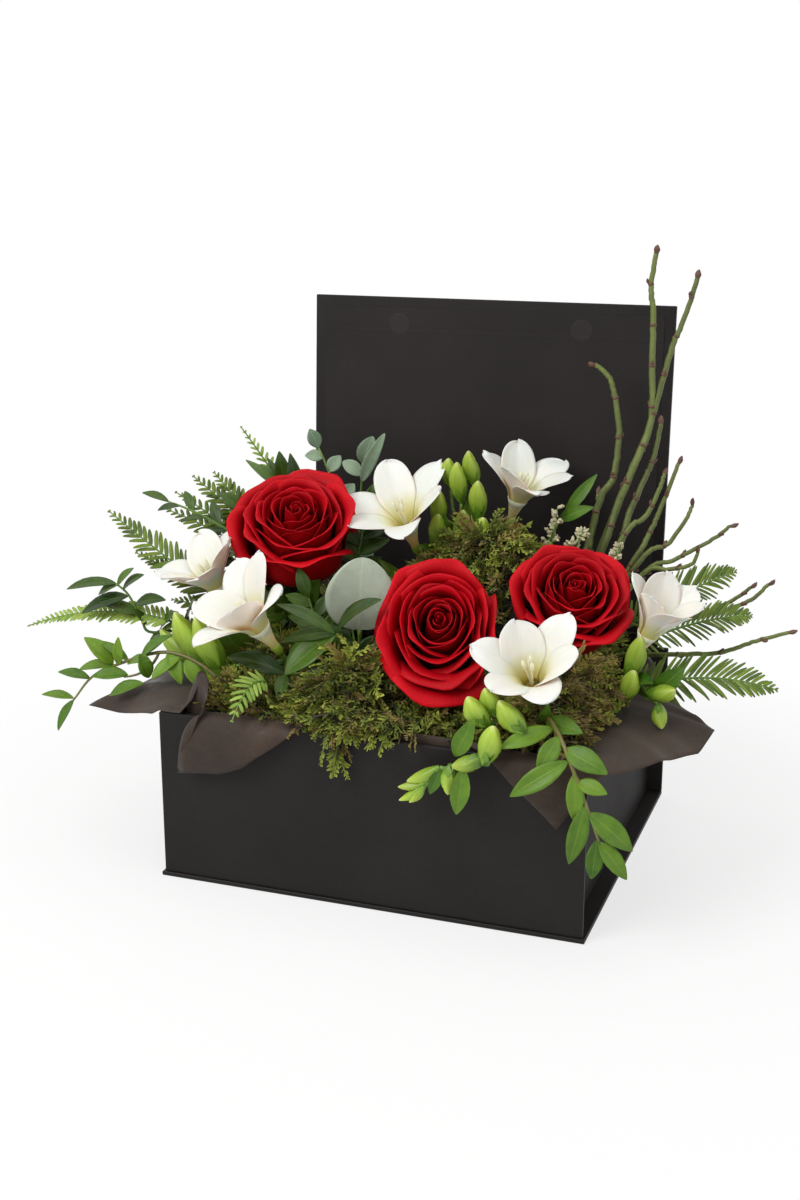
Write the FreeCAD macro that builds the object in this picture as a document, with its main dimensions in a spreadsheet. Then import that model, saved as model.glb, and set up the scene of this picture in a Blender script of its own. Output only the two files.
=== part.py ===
import FreeCAD, Part
import math
import os
import Sketcher

# A book-style gift box with a hinged lid, lined with brown paper and planted with cut flowers.
# Millimetres; X to the right, Y to the back, Z up; the origin is the middle of the base's underside.

# Driving sizes of the box, its lid, the insert and the plants
SIZES = {
    "base_width": 250.0, "base_depth": 217.0, "board": 2.5, "rim_height": 100.0, "edge_break": 0.4,
    "front_width": 247.0, "front_setback": 1.5, "wall": 2.0, "side_inset": 9.5,
    "stay_leg": 12.0, "stay_gauge": 0.3, "stay_height": 84.0,
    "lid_width": 236.0, "lid_length": 210.0, "lid_board": 3.0, "lid_gap": 2.0, "lid_lean": 2.9,
    "liner_margin": 6.5, "liner_gauge": 0.4,
    "magnet_radius": 7.0, "magnet_gauge": 2.0, "magnet_edge": 17.0, "magnet_spacing": 120.0,
    "leaf_gauge": 0.4, "leaf_reach": 20.0, "fold_radius": 1.2,
    "paper_gauge": 0.35, "paper_clear": 1.1, "paper_corner": 10.0,
    "dish_clear": 2.6, "dish_wall": 0.8, "dish_height": 55.0, "dish_corner": 14.0,
    "foam_clear": 0.6, "foam_split": 98.0, "foam_below_rim": 5.0, "foam_rear_rise": 22.0,
    "foam_rear_width": 172.0, "foam_bevel": 8.0,
    "petal_gauge": 0.8, "tepal_gauge": 0.7, "blade_gauge": 0.6,
    "rose_height": 50.0, "rose_stem": 2.6, "freesia_length": 52.0, "freesia_mouth": 31.0,
    "freesia_stem": 1.5, "bud_radius": 4.6, "twig_radius": 1.7,
}

# Places of the plants: right of the middle, behind the base's front edge, above the box's rim
PLACES = {
    "rose_left": (-82.0, 112.0, 82.0), "rose_left_foot": (-78.0, 130.0, -5.0),
    "rose_centre": (27.0, 52.0, 52.0), "rose_centre_foot": (24.0, 82.0, -45.0),
    "rose_right": (86.0, 112.0, 57.0), "rose_right_foot": (74.0, 135.0, 0.0),
    "freesia_rear_left": (-127.0, 86.0, 30.0), "freesia_left": (-68.0, 46.0, 26.0),
    "freesia_left_foot": (-70.0, 62.0, -40.0),
    "freesia_centre": (-27.0, 158.0, 66.0), "freesia_centre_foot": (-22.0, 162.0, 0.0),
    "freesia_top": (27.0, 186.0, 79.0), "freesia_top_foot": (34.0, 182.0, 0.0),
    "freesia_front": (86.0, 36.0, 17.0), "freesia_front_foot": (84.0, 52.0, -40.0),
    "freesia_right": (126.0, 98.0, 32.0), "freesia_right_foot": (92.0, 92.0, -25.0),
    "twig_foot": (64.0, 172.0, 0.0),
}

document = FreeCAD.newDocument("flower_box")
sheet = document.addObject("Spreadsheet::Sheet", "sizes")


def fill_sheet():
    """Write every driving size and place into the sheet under its alias."""
    cells = dict(SIZES)
    for name, place in PLACES.items():
        for part, number in zip(("right", "back", "rise"), place):
            cells[name + "_" + part] = number
    for row, (alias, number) in enumerate(cells.items(), start=1):
        sheet.set("A%d" % row, alias)
        sheet.set("B%d" % row, str(number))
        sheet.setAlias("B%d" % row, alias)
    document.recompute()


fill_sheet()


def size(alias):
    return float(sheet.get(alias))


def vec(x, y, z):
    return FreeCAD.Vector(x, y, z)


FRONT = -size("base_depth") / 2
BACK = size("base_depth") / 2
RIM = size("rim_height")
TRAY_RIGHT = size("base_width") / 2 - size("side_inset")
TRAY_FRONT = FRONT + size("front_setback") + size("board")
TRAY_BACK = BACK - size("board")
FLOOR_TOP = size("board") + size("wall")
REAR_SIDE = size("foam_rear_width") / 2
HINGE = vec(0, BACK, RIM + size("fold_radius") + 0.1)
LEAN = size("lid_lean")


def spot(right, back, rise):
    """A point given from the box: right of the middle, behind the front edge, above the rim."""
    return vec(right, FRONT + back, RIM + rise)


def place(name):
    return spot(size(name + "_right"), size(name + "_back"), size(name + "_rise"))


# Board parts: a sketched rectangle, a pad and softened edges, every size bound to the sheet
UPRIGHT = FreeCAD.Rotation(vec(1, 0, 0), 90)
SIDEWAYS = FreeCAD.Rotation(vec(1, 1, 1), 120)
FLAT = FreeCAD.Rotation()
LEANING = FreeCAD.Rotation(vec(1, 0, 0), 90 - LEAN)


def origin_plane(body, role):
    return [plane for plane in body.Origin.OriginFeatures if plane.Role == role][0]


def rectangle(body, name, across, along):
    """A rectangle about the body's origin with both sides bound to expressions."""
    sketch = body.newObject("Sketcher::SketchObject", name)
    sketch.AttachmentSupport = [(origin_plane(body, "XY_Plane"), "")]
    sketch.MapMode = "FlatFace"
    corners = [vec(-5, -4, 0), vec(5, -4, 0), vec(5, 4, 0), vec(-5, 4, 0)]
    for index in range(4):
        sketch.addGeometry(Part.LineSegment(corners[index], corners[(index + 1) % 4]))
    for index in range(4):
        sketch.addConstraint(Sketcher.Constraint("Coincident", index, 2, (index + 1) % 4, 1))
        way = "Horizontal" if index % 2 == 0 else "Vertical"
        sketch.addConstraint(Sketcher.Constraint(way, index))
    sketch.addConstraint(Sketcher.Constraint("Symmetric", 0, 1, 2, 1, -1, 1))
    width = sketch.addConstraint(Sketcher.Constraint("DistanceX", 0, 1, 0, 2, 10.0))
    height = sketch.addConstraint(Sketcher.Constraint("DistanceY", 1, 1, 1, 2, 8.0))
    sketch.renameConstraint(width, "across")
    sketch.renameConstraint(height, "along")
    sketch.setExpression("Constraints.across", across)
    sketch.setExpression("Constraints.along", along)
    return sketch


def board(label, across, along, thickness, centre, turn, breaking="sizes.edge_break"):
    """One board or sheet with its edges broken, padded along its own normal."""
    body = document.addObject("PartDesign::Body", label)
    body.Label = label
    pad = body.newObject("PartDesign::Pad", label + "_pad")
    pad.Profile = rectangle(body, label + "_outline", across, along)
    pad.setExpression("Length", thickness)
    document.recompute()
    if breaking:
        soft = body.newObject("PartDesign::Chamfer", label + "_edges")
        soft.Base = (pad, ["Edge%d" % (index + 1) for index in range(len(pad.Shape.Edges))])
        soft.setExpression("Size", breaking)
        body.Tip = soft
    body.Placement = FreeCAD.Placement(centre, turn)
    return body


def on_lid(along, outward):
    """A point of the leaning lid's middle line: along it from the hinge, outward behind its inner face."""
    lean = math.radians(LEAN)
    step = vec(0, math.sin(lean), math.cos(lean)) * along
    return HINGE + step + vec(0, math.cos(lean), -math.sin(lean)) * outward


def build_case():
    wall = size("wall")
    mid = (TRAY_FRONT + TRAY_BACK) / 2
    tray_depth = "sizes.base_depth - sizes.front_setback - 2 * sizes.board"
    tray_width = "sizes.base_width - 2 * sizes.side_inset"
    upright = "sizes.rim_height - sizes.board"
    wall_up = "sizes.rim_height - sizes.board - sizes.wall"
    shell_mid = (RIM + size("board")) / 2
    wall_mid = (RIM + FLOOR_TOP) / 2
    board("base_board", "sizes.base_width", "sizes.base_depth", "sizes.board", vec(0, 0, 0), FLAT)
    board("spine_board", "sizes.base_width", upright, "sizes.board", vec(0, BACK, shell_mid), UPRIGHT)
    board("front_board", "sizes.front_width", upright, "sizes.board", vec(0, TRAY_FRONT, shell_mid), UPRIGHT)
    board("tray_floor", tray_width, tray_depth, "sizes.wall", vec(0, mid, size("board")), FLAT)
    board("tray_front_wall", tray_width, wall_up, "sizes.wall", vec(0, TRAY_FRONT + wall, wall_mid), UPRIGHT)
    board("tray_back_wall", tray_width, wall_up, "sizes.wall", vec(0, TRAY_BACK, wall_mid), UPRIGHT)
    inner_depth = tray_depth + " - 2 * sizes.wall"
    board("tray_left_wall", inner_depth, wall_up, "sizes.wall", vec(-TRAY_RIGHT, mid, wall_mid), SIDEWAYS)
    right = vec(TRAY_RIGHT - wall, mid, wall_mid)
    board("tray_right_wall", inner_depth, wall_up, "sizes.wall", right, SIDEWAYS)


def build_corner_stays():
    """Four folded paper stays glued into the tray's inner corners."""
    body = document.addObject("PartDesign::Body", "corner_stays")
    body.Label = "corner_stays"
    sketch = body.newObject("Sketcher::SketchObject", "stay_outline")
    sketch.AttachmentSupport = [(origin_plane(body, "XY_Plane"), "")]
    sketch.MapMode = "FlatFace"
    leg = size("stay_leg")
    gauge = size("stay_gauge")
    inner_x = TRAY_RIGHT - size("wall")
    inner_y = (TRAY_BACK - TRAY_FRONT) / 2 - size("wall")
    for sx in (1, -1):
        for sy in (1, -1):
            steps = [(0, 0), (leg, 0), (leg, gauge), (gauge, gauge), (gauge, leg), (0, leg)]
            corners = [vec(sx * (inner_x - u), sy * (inner_y - v), 0) for u, v in steps]
            for index in range(6):
                sketch.addGeometry(Part.LineSegment(corners[index], corners[(index + 1) % 6]))
    pad = body.newObject("PartDesign::Pad", "stay_pad")
    pad.Profile = sketch
    pad.setExpression("Length", "sizes.stay_height")
    body.Placement = FreeCAD.Placement(vec(0, (TRAY_FRONT + TRAY_BACK) / 2, FLOOR_TOP), FLAT)


def build_lid():
    middle = size("lid_gap") + size("lid_length") / 2
    lid_across = "sizes.lid_width"
    back_face = on_lid(middle, size("lid_board"))
    board("lid_board", lid_across, "sizes.lid_length", "sizes.lid_board", back_face, LEANING)
    liner_across = "sizes.lid_width - 2 * sizes.liner_margin"
    liner_along = "sizes.lid_length - 2 * sizes.liner_margin"
    board("lid_liner", liner_across, liner_along, "sizes.liner_gauge", on_lid(middle, 0), LEANING, "")
    leaf_middle = on_lid(size("lid_gap") + size("leaf_reach") / 2, size("lid_board") + size("leaf_gauge"))
    board("lid_hinge_leaf", lid_across, "sizes.leaf_reach", "sizes.leaf_gauge", leaf_middle, LEANING, "")
    spine_leaf = vec(0, BACK + size("leaf_gauge"), RIM - size("leaf_reach") / 2)
    board("spine_hinge_leaf", lid_across, "sizes.leaf_reach", "sizes.leaf_gauge", spine_leaf, UPRIGHT, "")


def build_magnets():
    """Two disc magnets let into the lid, flush under its liner, and the pockets that hold them."""
    body = document.getObject("lid_board")
    sketch = body.newObject("Sketcher::SketchObject", "magnet_pockets")
    sketch.AttachmentSupport = [(origin_plane(body, "XY_Plane"), "")]
    sketch.MapMode = "FlatFace"
    sketch.AttachmentOffset = FreeCAD.Placement(vec(0, 0, size("lid_board")), FLAT)
    from_middle = size("lid_length") / 2 - size("magnet_edge")
    places = [vec(side * size("magnet_spacing") / 2, from_middle, 0) for side in (-1, 1)]
    for centre in places:
        circle = sketch.addGeometry(Part.Circle(centre, vec(0, 0, 1), size("magnet_radius")))
        radius = sketch.addConstraint(Sketcher.Constraint("Radius", circle, size("magnet_radius")))
        sketch.setExpression("Constraints[%d]" % radius, "sizes.magnet_radius")
    pocket = body.newObject("PartDesign::Pocket", "magnet_recess")
    pocket.Profile = sketch
    pocket.setExpression("Length", "sizes.magnet_gauge")
    body.Tip = pocket
    discs = []
    for index, centre in enumerate(places):
        disc = document.addObject("Part::Cylinder", "magnet_%d" % index)
        disc.setExpression("Radius", "sizes.magnet_radius")
        disc.setExpression("Height", "sizes.magnet_gauge")
        depth = size("lid_board") - size("magnet_gauge")
        disc.Placement = FreeCAD.Placement(centre + vec(0, 0, depth), FLAT)
        discs.append(disc)
    group = document.addObject("Part::Compound", "lid_magnets")
    group.Label = "lid_magnets"
    group.Links = discs
    group.Placement = body.Placement


def build_hinge_fold():
    """The creased bead of covering paper on which the lid turns."""
    fold = document.addObject("Part::Cylinder", "hinge_fold")
    fold.Label = "hinge_fold"
    fold.setExpression("Radius", "sizes.fold_radius")
    fold.setExpression("Height", "sizes.lid_width")
    away = HINGE + vec(-size("lid_width") / 2, 0, 0)
    fold.Placement = FreeCAD.Placement(away, FreeCAD.Rotation(vec(0, 1, 0), 90))


def build_dish():
    """The watertight plastic dish that holds the wet foam."""
    body = document.addObject("PartDesign::Body", "liner_dish")
    body.Label = "liner_dish"
    gap = " - 2 * (sizes.wall + sizes.dish_clear)"
    across = "sizes.base_width - 2 * sizes.side_inset" + gap
    along = "sizes.base_depth - sizes.front_setback - 2 * sizes.board" + gap
    pad = body.newObject("PartDesign::Pad", "dish_pad")
    pad.Profile = rectangle(body, "dish_outline", across, along)
    pad.setExpression("Length", "sizes.dish_height")
    document.recompute()
    edges = pad.Shape.Edges
    upright = [index for index, edge in enumerate(edges, 1) if abs(edge.tangentAt(edge.FirstParameter).z) > 0.9]
    corners = body.newObject("PartDesign::Fillet", "dish_corners")
    corners.Base = (pad, ["Edge%d" % index for index in upright])
    corners.setExpression("Radius", "sizes.dish_corner")
    document.recompute()
    top = [index for index, face in enumerate(corners.Shape.Faces, 1) if face.normalAt(0, 0).z > 0.9]
    hollow = body.newObject("PartDesign::Thickness", "dish_hollow")
    hollow.Base = (corners, ["Face%d" % top[0]])
    hollow.Reversed = True
    hollow.setExpression("Value", "sizes.dish_wall")
    body.Tip = hollow
    mid = (TRAY_FRONT + TRAY_BACK) / 2
    body.Placement = FreeCAD.Placement(vec(0, mid, FLOOR_TOP + size("paper_clear")), FLAT)


def build_foam():
    """Two bricks of wet foam: a low one in front and a taller bevelled one behind it."""
    inset = size("wall") + size("dish_clear") + size("dish_wall") + size("foam_clear")
    bottom = FLOOR_TOP + size("paper_clear") + size("dish_wall") + 0.1
    split = FRONT + size("foam_split")
    front = document.addObject("Part::Box", "foam_front")
    front.Label = "foam_front"
    front_edge = TRAY_FRONT + inset + 3.2
    width = "sizes.base_width - 2 * (sizes.side_inset + sizes.wall + sizes.dish_clear"
    width = width + " + sizes.dish_wall + sizes.foam_clear + sizes.dish_corner / 3)"
    front.setExpression("Length", width)
    front.Width = split - front_edge
    front.Height = RIM - size("foam_below_rim") - bottom
    document.recompute()
    front.Placement = FreeCAD.Placement(vec(-front.Length.Value / 2, front_edge, bottom), FLAT)
    block = document.addObject("Part::Box", "foam_rear_block")
    block.setExpression("Length", "sizes.foam_rear_width")
    block.Width = TRAY_BACK - inset - split
    block.Height = RIM + size("foam_rear_rise") - bottom
    document.recompute()
    tops = [i for i, edge in enumerate(block.Shape.Edges, 1) if edge.CenterOfMass.z > block.Height.Value - 0.1]
    rear = document.addObject("Part::Chamfer", "foam_rear")
    rear.Label = "foam_rear"
    rear.Base = block
    rear.Edges = [(index, size("foam_bevel"), size("foam_bevel")) for index in tops]
    rear.Placement = FreeCAD.Placement(vec(-size("foam_rear_width") / 2, split, bottom), FLAT)


# Plant and paper forms: closed faceted solids worked out point by point
def unit(vector):
    copy = FreeCAD.Vector(vector)
    copy.normalize()
    return copy


def square_to(axis, toward):
    """The unit vector square to the axis that leans most toward the given direction."""
    return unit(toward - axis * (toward * axis))


def solid(points, facets):
    shape = Part.Shape()
    shape.makeShapeFromMesh(([tuple(point) for point in points], facets), 0.0001)
    result = Part.Solid(Part.Shell(shape.Faces))
    if result.Volume < 0:
        result.reverse()
    return result


def feature(label, solids):
    item = document.addObject("Part::Feature", label)
    item.Label = label
    item.Shape = solids[0] if len(solids) == 1 else Part.makeCompound(solids)
    return item


def lofted(rings):
    """A closed solid through rings of equally many points, its two ends capped flat."""
    count = len(rings[0])
    points = [point for ring in rings for point in ring]
    facets = []
    for row in range(len(rings) - 1):
        for col in range(count):
            a = row * count + col
            b = row * count + (col + 1) % count
            facets.append((a, b, b + count))
            facets.append((a, b + count, a + count))
    last = (len(rings) - 1) * count
    for col in range(1, count - 1):
        facets.append((0, col + 1, col))
        facets.append((last, last + col, last + col + 1))
    return solid(points, facets)


def ring(centre, axis, radius, sides, spin=0.0):
    side = square_to(axis, vec(0.31, 0.17, 0.94) if abs(axis.z) < 0.9 else vec(0.9, 0.4, 0.1))
    other = axis.cross(side)
    angles = [spin + 2 * math.pi * index / sides for index in range(sides)]
    return [centre + side * (radius * math.cos(a)) + other * (radius * math.sin(a)) for a in angles]


def tube(path, radii, sides=5):
    """A stem through the points of a path, tapering through the given radii."""
    rings = []
    for index, point in enumerate(path):
        before = path[max(index - 1, 0)]
        after = path[min(index + 1, len(path) - 1)]
        rings.append(ring(point, unit(after - before), radii[index], sides))
    return lofted(rings)


def curve(start, control, end, count):
    """Points of a smooth bend from start to end, drawn toward a control point."""
    points = []
    for index in range(count + 1):
        t = index / count
        points.append(start * ((1 - t) ** 2) + control * (2 * t * (1 - t)) + end * (t * t))
    return points


def thick_sheet(grid, gauge):
    """A closed thin solid on both sides of a grid of points."""
    rows = len(grid)
    cols = len(grid[0])
    upper = []
    lower = []
    for i in range(rows):
        for j in range(cols):
            along = grid[min(i + 1, rows - 1)][j] - grid[max(i - 1, 0)][j]
            across = grid[i][min(j + 1, cols - 1)] - grid[i][max(j - 1, 0)]
            lift = unit(along.cross(across)) * (gauge / 2)
            upper.append(grid[i][j] + lift)
            lower.append(grid[i][j] - lift)
    total = rows * cols
    facets = []
    for i in range(rows - 1):
        for j in range(cols - 1):
            a = i * cols + j
            for x, y, z in ((a, a + cols, a + cols + 1), (a, a + cols + 1, a + 1)):
                facets.append((x, y, z))
                facets.append((total + x, total + z, total + y))
    border = [j for j in range(cols)] + [i * cols + cols - 1 for i in range(1, rows)]
    border += [(rows - 1) * cols + j for j in range(cols - 2, -1, -1)]
    border += [i * cols for i in range(rows - 2, 0, -1)]
    for index, a in enumerate(border):
        b = border[(index + 1) % len(border)]
        facets.append((a, b, total + b))
        facets.append((a, total + b, total + a))
    return solid(upper + lower, facets)


def leaf(base, tip, facing, width, fold=0.25, sag=0.08, rows=4, blunt=0.9):
    """A leaf blade from base to tip, folded along its midrib and sagging away from its face."""
    along = tip - base
    length = along.Length
    normal = square_to(unit(along), facing)
    side = unit(along).cross(normal)
    grid = []
    for i in range(rows + 1):
        v = i / rows
        half = width / 2 * max(math.sin(math.pi * v ** blunt), 0.07)
        line = base + along * v + normal * (sag * length * 4 * v * (1 - v))
        grid.append([line + side * (u * half) + normal * (fold * half * abs(u)) for u in (-1, 0, 1)])
    return thick_sheet(grid, size("blade_gauge"))


def blade(base, tip, facing, width, gauge, bulge=0.4):
    """A slim leaflet or scale: a flat diamond section drawn out to two points."""
    along = tip - base
    normal = square_to(unit(along), facing)
    side = unit(along).cross(normal)
    middle = base + along * bulge
    corners = [middle + side * (width / 2), middle + normal * (gauge / 2)]
    corners += [middle - side * (width / 2), middle - normal * (gauge / 2)]
    facets = []
    for index in range(4):
        facets.append((0, index + 2, (index + 1) % 4 + 2))
        facets.append((1, (index + 1) % 4 + 2, index + 2))
    return solid([base, tip] + corners, facets)


def bud(base, tip, radius, sides=6):
    axis = unit(tip - base)
    shares = ((0.0, 0.3), (0.3, 0.9), (0.62, 1.0), (0.88, 0.55), (1.0, 0.12))
    return lofted([ring(base + (tip - base) * v, axis, radius * r, sides) for v, r in shares])


def petal(base, axis, angle, spread, profile, droop, cols, gauge):
    """A cupped petal standing round an axis; the profile lists its radius and height from the base."""
    side = square_to(axis, vec(0.8, 0.5, 0.3))
    other = axis.cross(side)
    grid = []
    for radius, height in profile:
        line = []
        for j in range(cols + 1):
            u = 2 * j / cols - 1
            turn = angle + u * spread
            out = side * math.cos(turn) + other * math.sin(turn)
            line.append(base + out * (radius * (1 + 0.06 * (1 - u * u))) + axis * (height * (1 - droop * u * u)))
        grid.append(line)
    return thick_sheet(grid, gauge)


def rose(base, axis, radius, spin):
    """The wrapped petals of an open rose, whorl by whorl, and its rolled heart."""
    height = size("rose_height")
    gauge = size("petal_gauge")
    whorls = ((5, 1.0, 0.66, 0.72, 0.13), (5, 0.84, 0.80, 0.76, 0.03), (5, 0.62, 0.92, 0.80, 0.0),
              (4, 0.40, 0.99, 0.98, 0.0))
    petals = []
    for index, (count, wide, tall, spread, lip) in enumerate(whorls):
        out = radius * wide
        top = height * tall
        profile = [(3.2, 1.5), (0.62 * out, 0.24 * top), (0.9 * out, 0.62 * top), (0.96 * out, 0.9 * top)]
        profile.append((out * (1 + lip), top * (1 - 0.4 * lip)))
        for k in range(count):
            turn = spin + 2 * math.pi * k / count + 0.55 * index
            petals.append(petal(base, axis, turn, spread, profile, 0.16, 3, gauge))
    heart = [(0.01, 0.11), (0.4, 0.18), (0.9, 0.24), (1.0, 0.15)]
    petals.append(lofted([ring(base + axis * (height * v), axis, radius * r, 6, spin) for v, r in heart]))
    return petals


def sepals(base, axis, reach, count=5):
    """The green cup under a flower and its narrow sepals."""
    cup = [(-9.0, 2.4), (-6.0, 4.6), (-2.0, 5.0), (0.2, 3.0)]
    parts = [lofted([ring(base + axis * v, axis, r, 6) for v, r in cup])]
    side = square_to(axis, vec(0.8, 0.5, 0.3))
    for k in range(count):
        turn = 2 * math.pi * k / count
        out = side * math.cos(turn) + axis.cross(side) * math.sin(turn)
        start = base - axis * 4.0 + out * 4.0
        parts.append(blade(start, start + out * reach - axis * (0.4 * reach), axis, 5.0, 1.0))
    return parts


def freesia(base, axis, scale, spin):
    """A funnel-shaped bloom: a slim tube that opens into six rounded lobes."""
    length = size("freesia_length") * scale
    mouth = size("freesia_mouth") * scale
    tube_rings = [(0.0, 1.8), (0.2, 2.2), (0.38, 5.0), (0.5, 8.0)]
    parts = [lofted([ring(base + axis * (length * v), axis, r * scale, 6, spin) for v, r in tube_rings])]
    side = square_to(axis, vec(0.8, 0.5, 0.3))
    for k in range(6):
        turn = spin + math.pi * k / 3
        out = side * math.cos(turn) + axis.cross(side) * math.sin(turn)
        along = axis.cross(out)
        inner = k % 2
        grid = []
        for i in range(5):
            v = i / 4
            rise = length * (0.4 + 0.6 * (v - 0.1 * v * v) * (1.0 if inner else 0.93))
            reach = 5.2 * scale + (mouth * (0.92 if inner else 1.0) - 5.2 * scale) * v ** 1.5
            half = mouth * (0.2 + 0.26 * math.sin(math.pi * min(v * 0.78 + 0.1, 1.0)))
            half *= 1.0 if i < 4 else 0.45
            line = base + axis * rise + out * reach
            grid.append([line + along * (u * half) - out * (0.16 * half * u * u) for u in (-1, 0, 1)])
        parts.append(thick_sheet(grid, size("tepal_gauge")))
    return parts


def spray(path, leaves, length, width, facing, opening=0.9, radius=1.1, rows=4):
    """A leafy twig: a stem with leaves set alternately to both sides and one at its tip."""
    count = len(path)
    parts = [tube(path, [radius * (1 - 0.6 * i / (count - 1)) for i in range(count)])]
    for k in range(leaves):
        share = 0.22 + 0.72 * k / max(leaves - 1, 1)
        step = share * (count - 1)
        low = min(int(step), count - 2)
        base = path[low] + (path[low + 1] - path[low]) * (step - low)
        ahead = unit(path[low + 1] - path[low])
        side = ahead.cross(square_to(ahead, facing)) * (1 if k % 2 else -1)
        way = unit(ahead * math.cos(opening) + side * math.sin(opening))
        grow = 1.0 - 0.35 * abs(2 * share - 1)
        parts.append(leaf(base, base + way * (length * grow), facing, width * grow, rows=rows))
    end = unit(path[-1] - path[-2])
    parts.append(leaf(path[-1], path[-1] + end * length * 0.8, facing, width * 0.75, rows=rows))
    return parts


def frond(start, bend, tip, half_width, pairs, facing, clear=0.3):
    """A fern frond: a slim rib with leaflets in pairs that shorten toward the tip."""
    steps = 8
    path = curve(start, bend, tip, steps)
    parts = [tube(path, [1.0 - 0.085 * i for i in range(steps + 1)], 4)]
    for k in range(pairs):
        share = clear + (0.98 - clear) * k / (pairs - 1)
        step = share * steps
        low = min(int(step), steps - 1)
        base = path[low] + (path[low + 1] - path[low]) * (step - low)
        ahead = unit(path[low + 1] - path[low])
        out = ahead.cross(square_to(ahead, facing))
        place_on = k / (pairs - 1)
        reach = half_width * (0.25 + 0.75 * math.sin(math.pi * (0.25 + 0.75 * place_on)))
        for side in (1, -1):
            way = unit(out * side + ahead * 0.75)
            parts.append(blade(base, base + way * reach, facing, 0.2 * half_width, 0.7))
    return parts


def twig(points, radius, buds):
    """A ridged bare twig with a swollen bud at each joint."""
    count = len(points)
    parts = [tube(points, [radius * (1 - 0.5 * i / (count - 1)) for i in range(count)])]
    for k in range(buds):
        step = (count - 1) * (0.35 + 0.65 * (k + 0.5) / buds)
        low = min(int(step), count - 2)
        base = points[low] + (points[low + 1] - points[low]) * (step - low)
        ahead = unit(points[low + 1] - points[low])
        out = ring(vec(0, 0, 0), ahead, 1.0, 5)[k % 5]
        parts.append(blade(base, base + ahead * 4.5 + out * 2.4, out, 2.2, 2.0))
    end = unit(points[-1] - points[-2])
    parts.append(bud(points[-1] - end * 1.0, points[-1] + end * 4.0, radius * 0.75, 5))
    return parts


def mound(centre, half_x, half_y, bottom, top, seed):
    """A lumpy pad of moss with a flat underside."""
    sides = 14
    rows = (1.0, 0.96, 0.72, 0.4)
    lifts = (0.0, 0.45, 0.85, 1.0)
    rings = []
    for row, (share, lift) in enumerate(zip(rows, lifts)):
        line = []
        for k in range(sides):
            turn = 2 * math.pi * k / sides
            lump = 1 + 0.1 * math.sin(3 * turn + seed) + 0.07 * math.sin(5 * turn + 2 * seed + row)
            crest = 1 - 0.12 * math.sin(4 * turn + seed + 1.7 * row)
            x = centre.x + half_x * share * lump * math.cos(turn)
            y = centre.y + half_y * share * lump * math.sin(turn)
            line.append(vec(x, y, bottom + (top - bottom) * lift * (crest if row else 0)))
        rings.append(line)
    points = [point for line in rings for point in line]
    points.append(vec(centre.x, centre.y, bottom))
    points.append(vec(centre.x, centre.y, top))
    facets = []
    for row in range(len(rows) - 1):
        for k in range(sides):
            a = row * sides + k
            b = row * sides + (k + 1) % sides
            facets.append((a, b, b + sides))
            facets.append((a, b + sides, a + sides))
    last = (len(rows) - 1) * sides
    for k in range(sides):
        facets.append((len(points) - 2, (k + 1) % sides, k))
        facets.append((len(points) - 1, last + k, last + (k + 1) % sides))
    return solid(points, facets)


# The lining paper's free edge, station by station round the box from its front left corner
PAPER_EDGE = (
    (0.0, -99, 10, 14), (0.0625, -104, -6, 5), (0.125, -107, -7, -32), (0.1875, -82, -8, -29),
    (0.3125, -46, -6, -5), (0.375, -27, -4, 8), (0.4375, -12, 3, 6), (0.5, 0, 9, 2), (0.6875, 46, 9, 2),
    (0.75, 58, 4, 4), (0.8125, 70, -5, 3), (0.875, 86, -7, -13), (0.9375, 110, -8, -33),
    (1.0, 131, -5, -3), (1.0625, 138, 14, -8), (1.25, 156, 48, -9), (1.375, 174, 80, -4),
    (1.625, 140, 124, 4), (1.8125, 122, 170, 7), (2.0, 107, 209.5, 9), (2.5, 0, 210, 12),
    (3.0, -107, 209.5, 9), (3.3125, -124, 150, 8), (3.625, -152, 95, 0), (3.8125, -191, 42, -16),
    (3.9375, -140, 16, -3), (4.0, -99, 10, 14),
)
PAPER_STATIONS = 64


def paper_edge(t):
    """The free edge at one station, eased between the listed ones."""
    for low, high in zip(PAPER_EDGE, PAPER_EDGE[1:]):
        if t <= high[0]:
            break
    share = (t - low[0]) / (high[0] - low[0])
    return spot(*[a + (b - a) * share for a, b in zip(low[1:], high[1:])])


def paper_wall(t, inset):
    """The point of the lined wall at one station, with rounded corners, and its outward direction."""
    half_x = TRAY_RIGHT - size("wall") - inset
    half_y = (TRAY_BACK - TRAY_FRONT) / 2 - size("wall") - inset
    mid = (TRAY_FRONT + TRAY_BACK) / 2
    side = int(t) % 4
    along = 2 * (t - int(t)) - 1
    x, y = ((along, -1), (1, along), (-along, 1), (-1, -along))[side]
    round_x = min(abs(x) * half_x, half_x) - (half_x - size("paper_corner"))
    round_y = min(abs(y) * half_y, half_y) - (half_y - size("paper_corner"))
    px = half_x * x
    py = half_y * y
    if round_x > 0 and round_y > 0:
        reach = math.hypot(round_x, round_y)
        px = math.copysign(half_x - size("paper_corner") + round_x / reach * size("paper_corner"), x)
        py = math.copysign(half_y - size("paper_corner") + round_y / reach * size("paper_corner"), y)
    return px, py + mid


def over_rim(point):
    """Lift a point of the paper that would otherwise cut into the boards' upper edges."""
    above_box = abs(point.x) < size("base_width") / 2 and point.y > FRONT + 0.5
    return vec(point.x, point.y, max(point.z, RIM + 1.2)) if above_box else point


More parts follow.
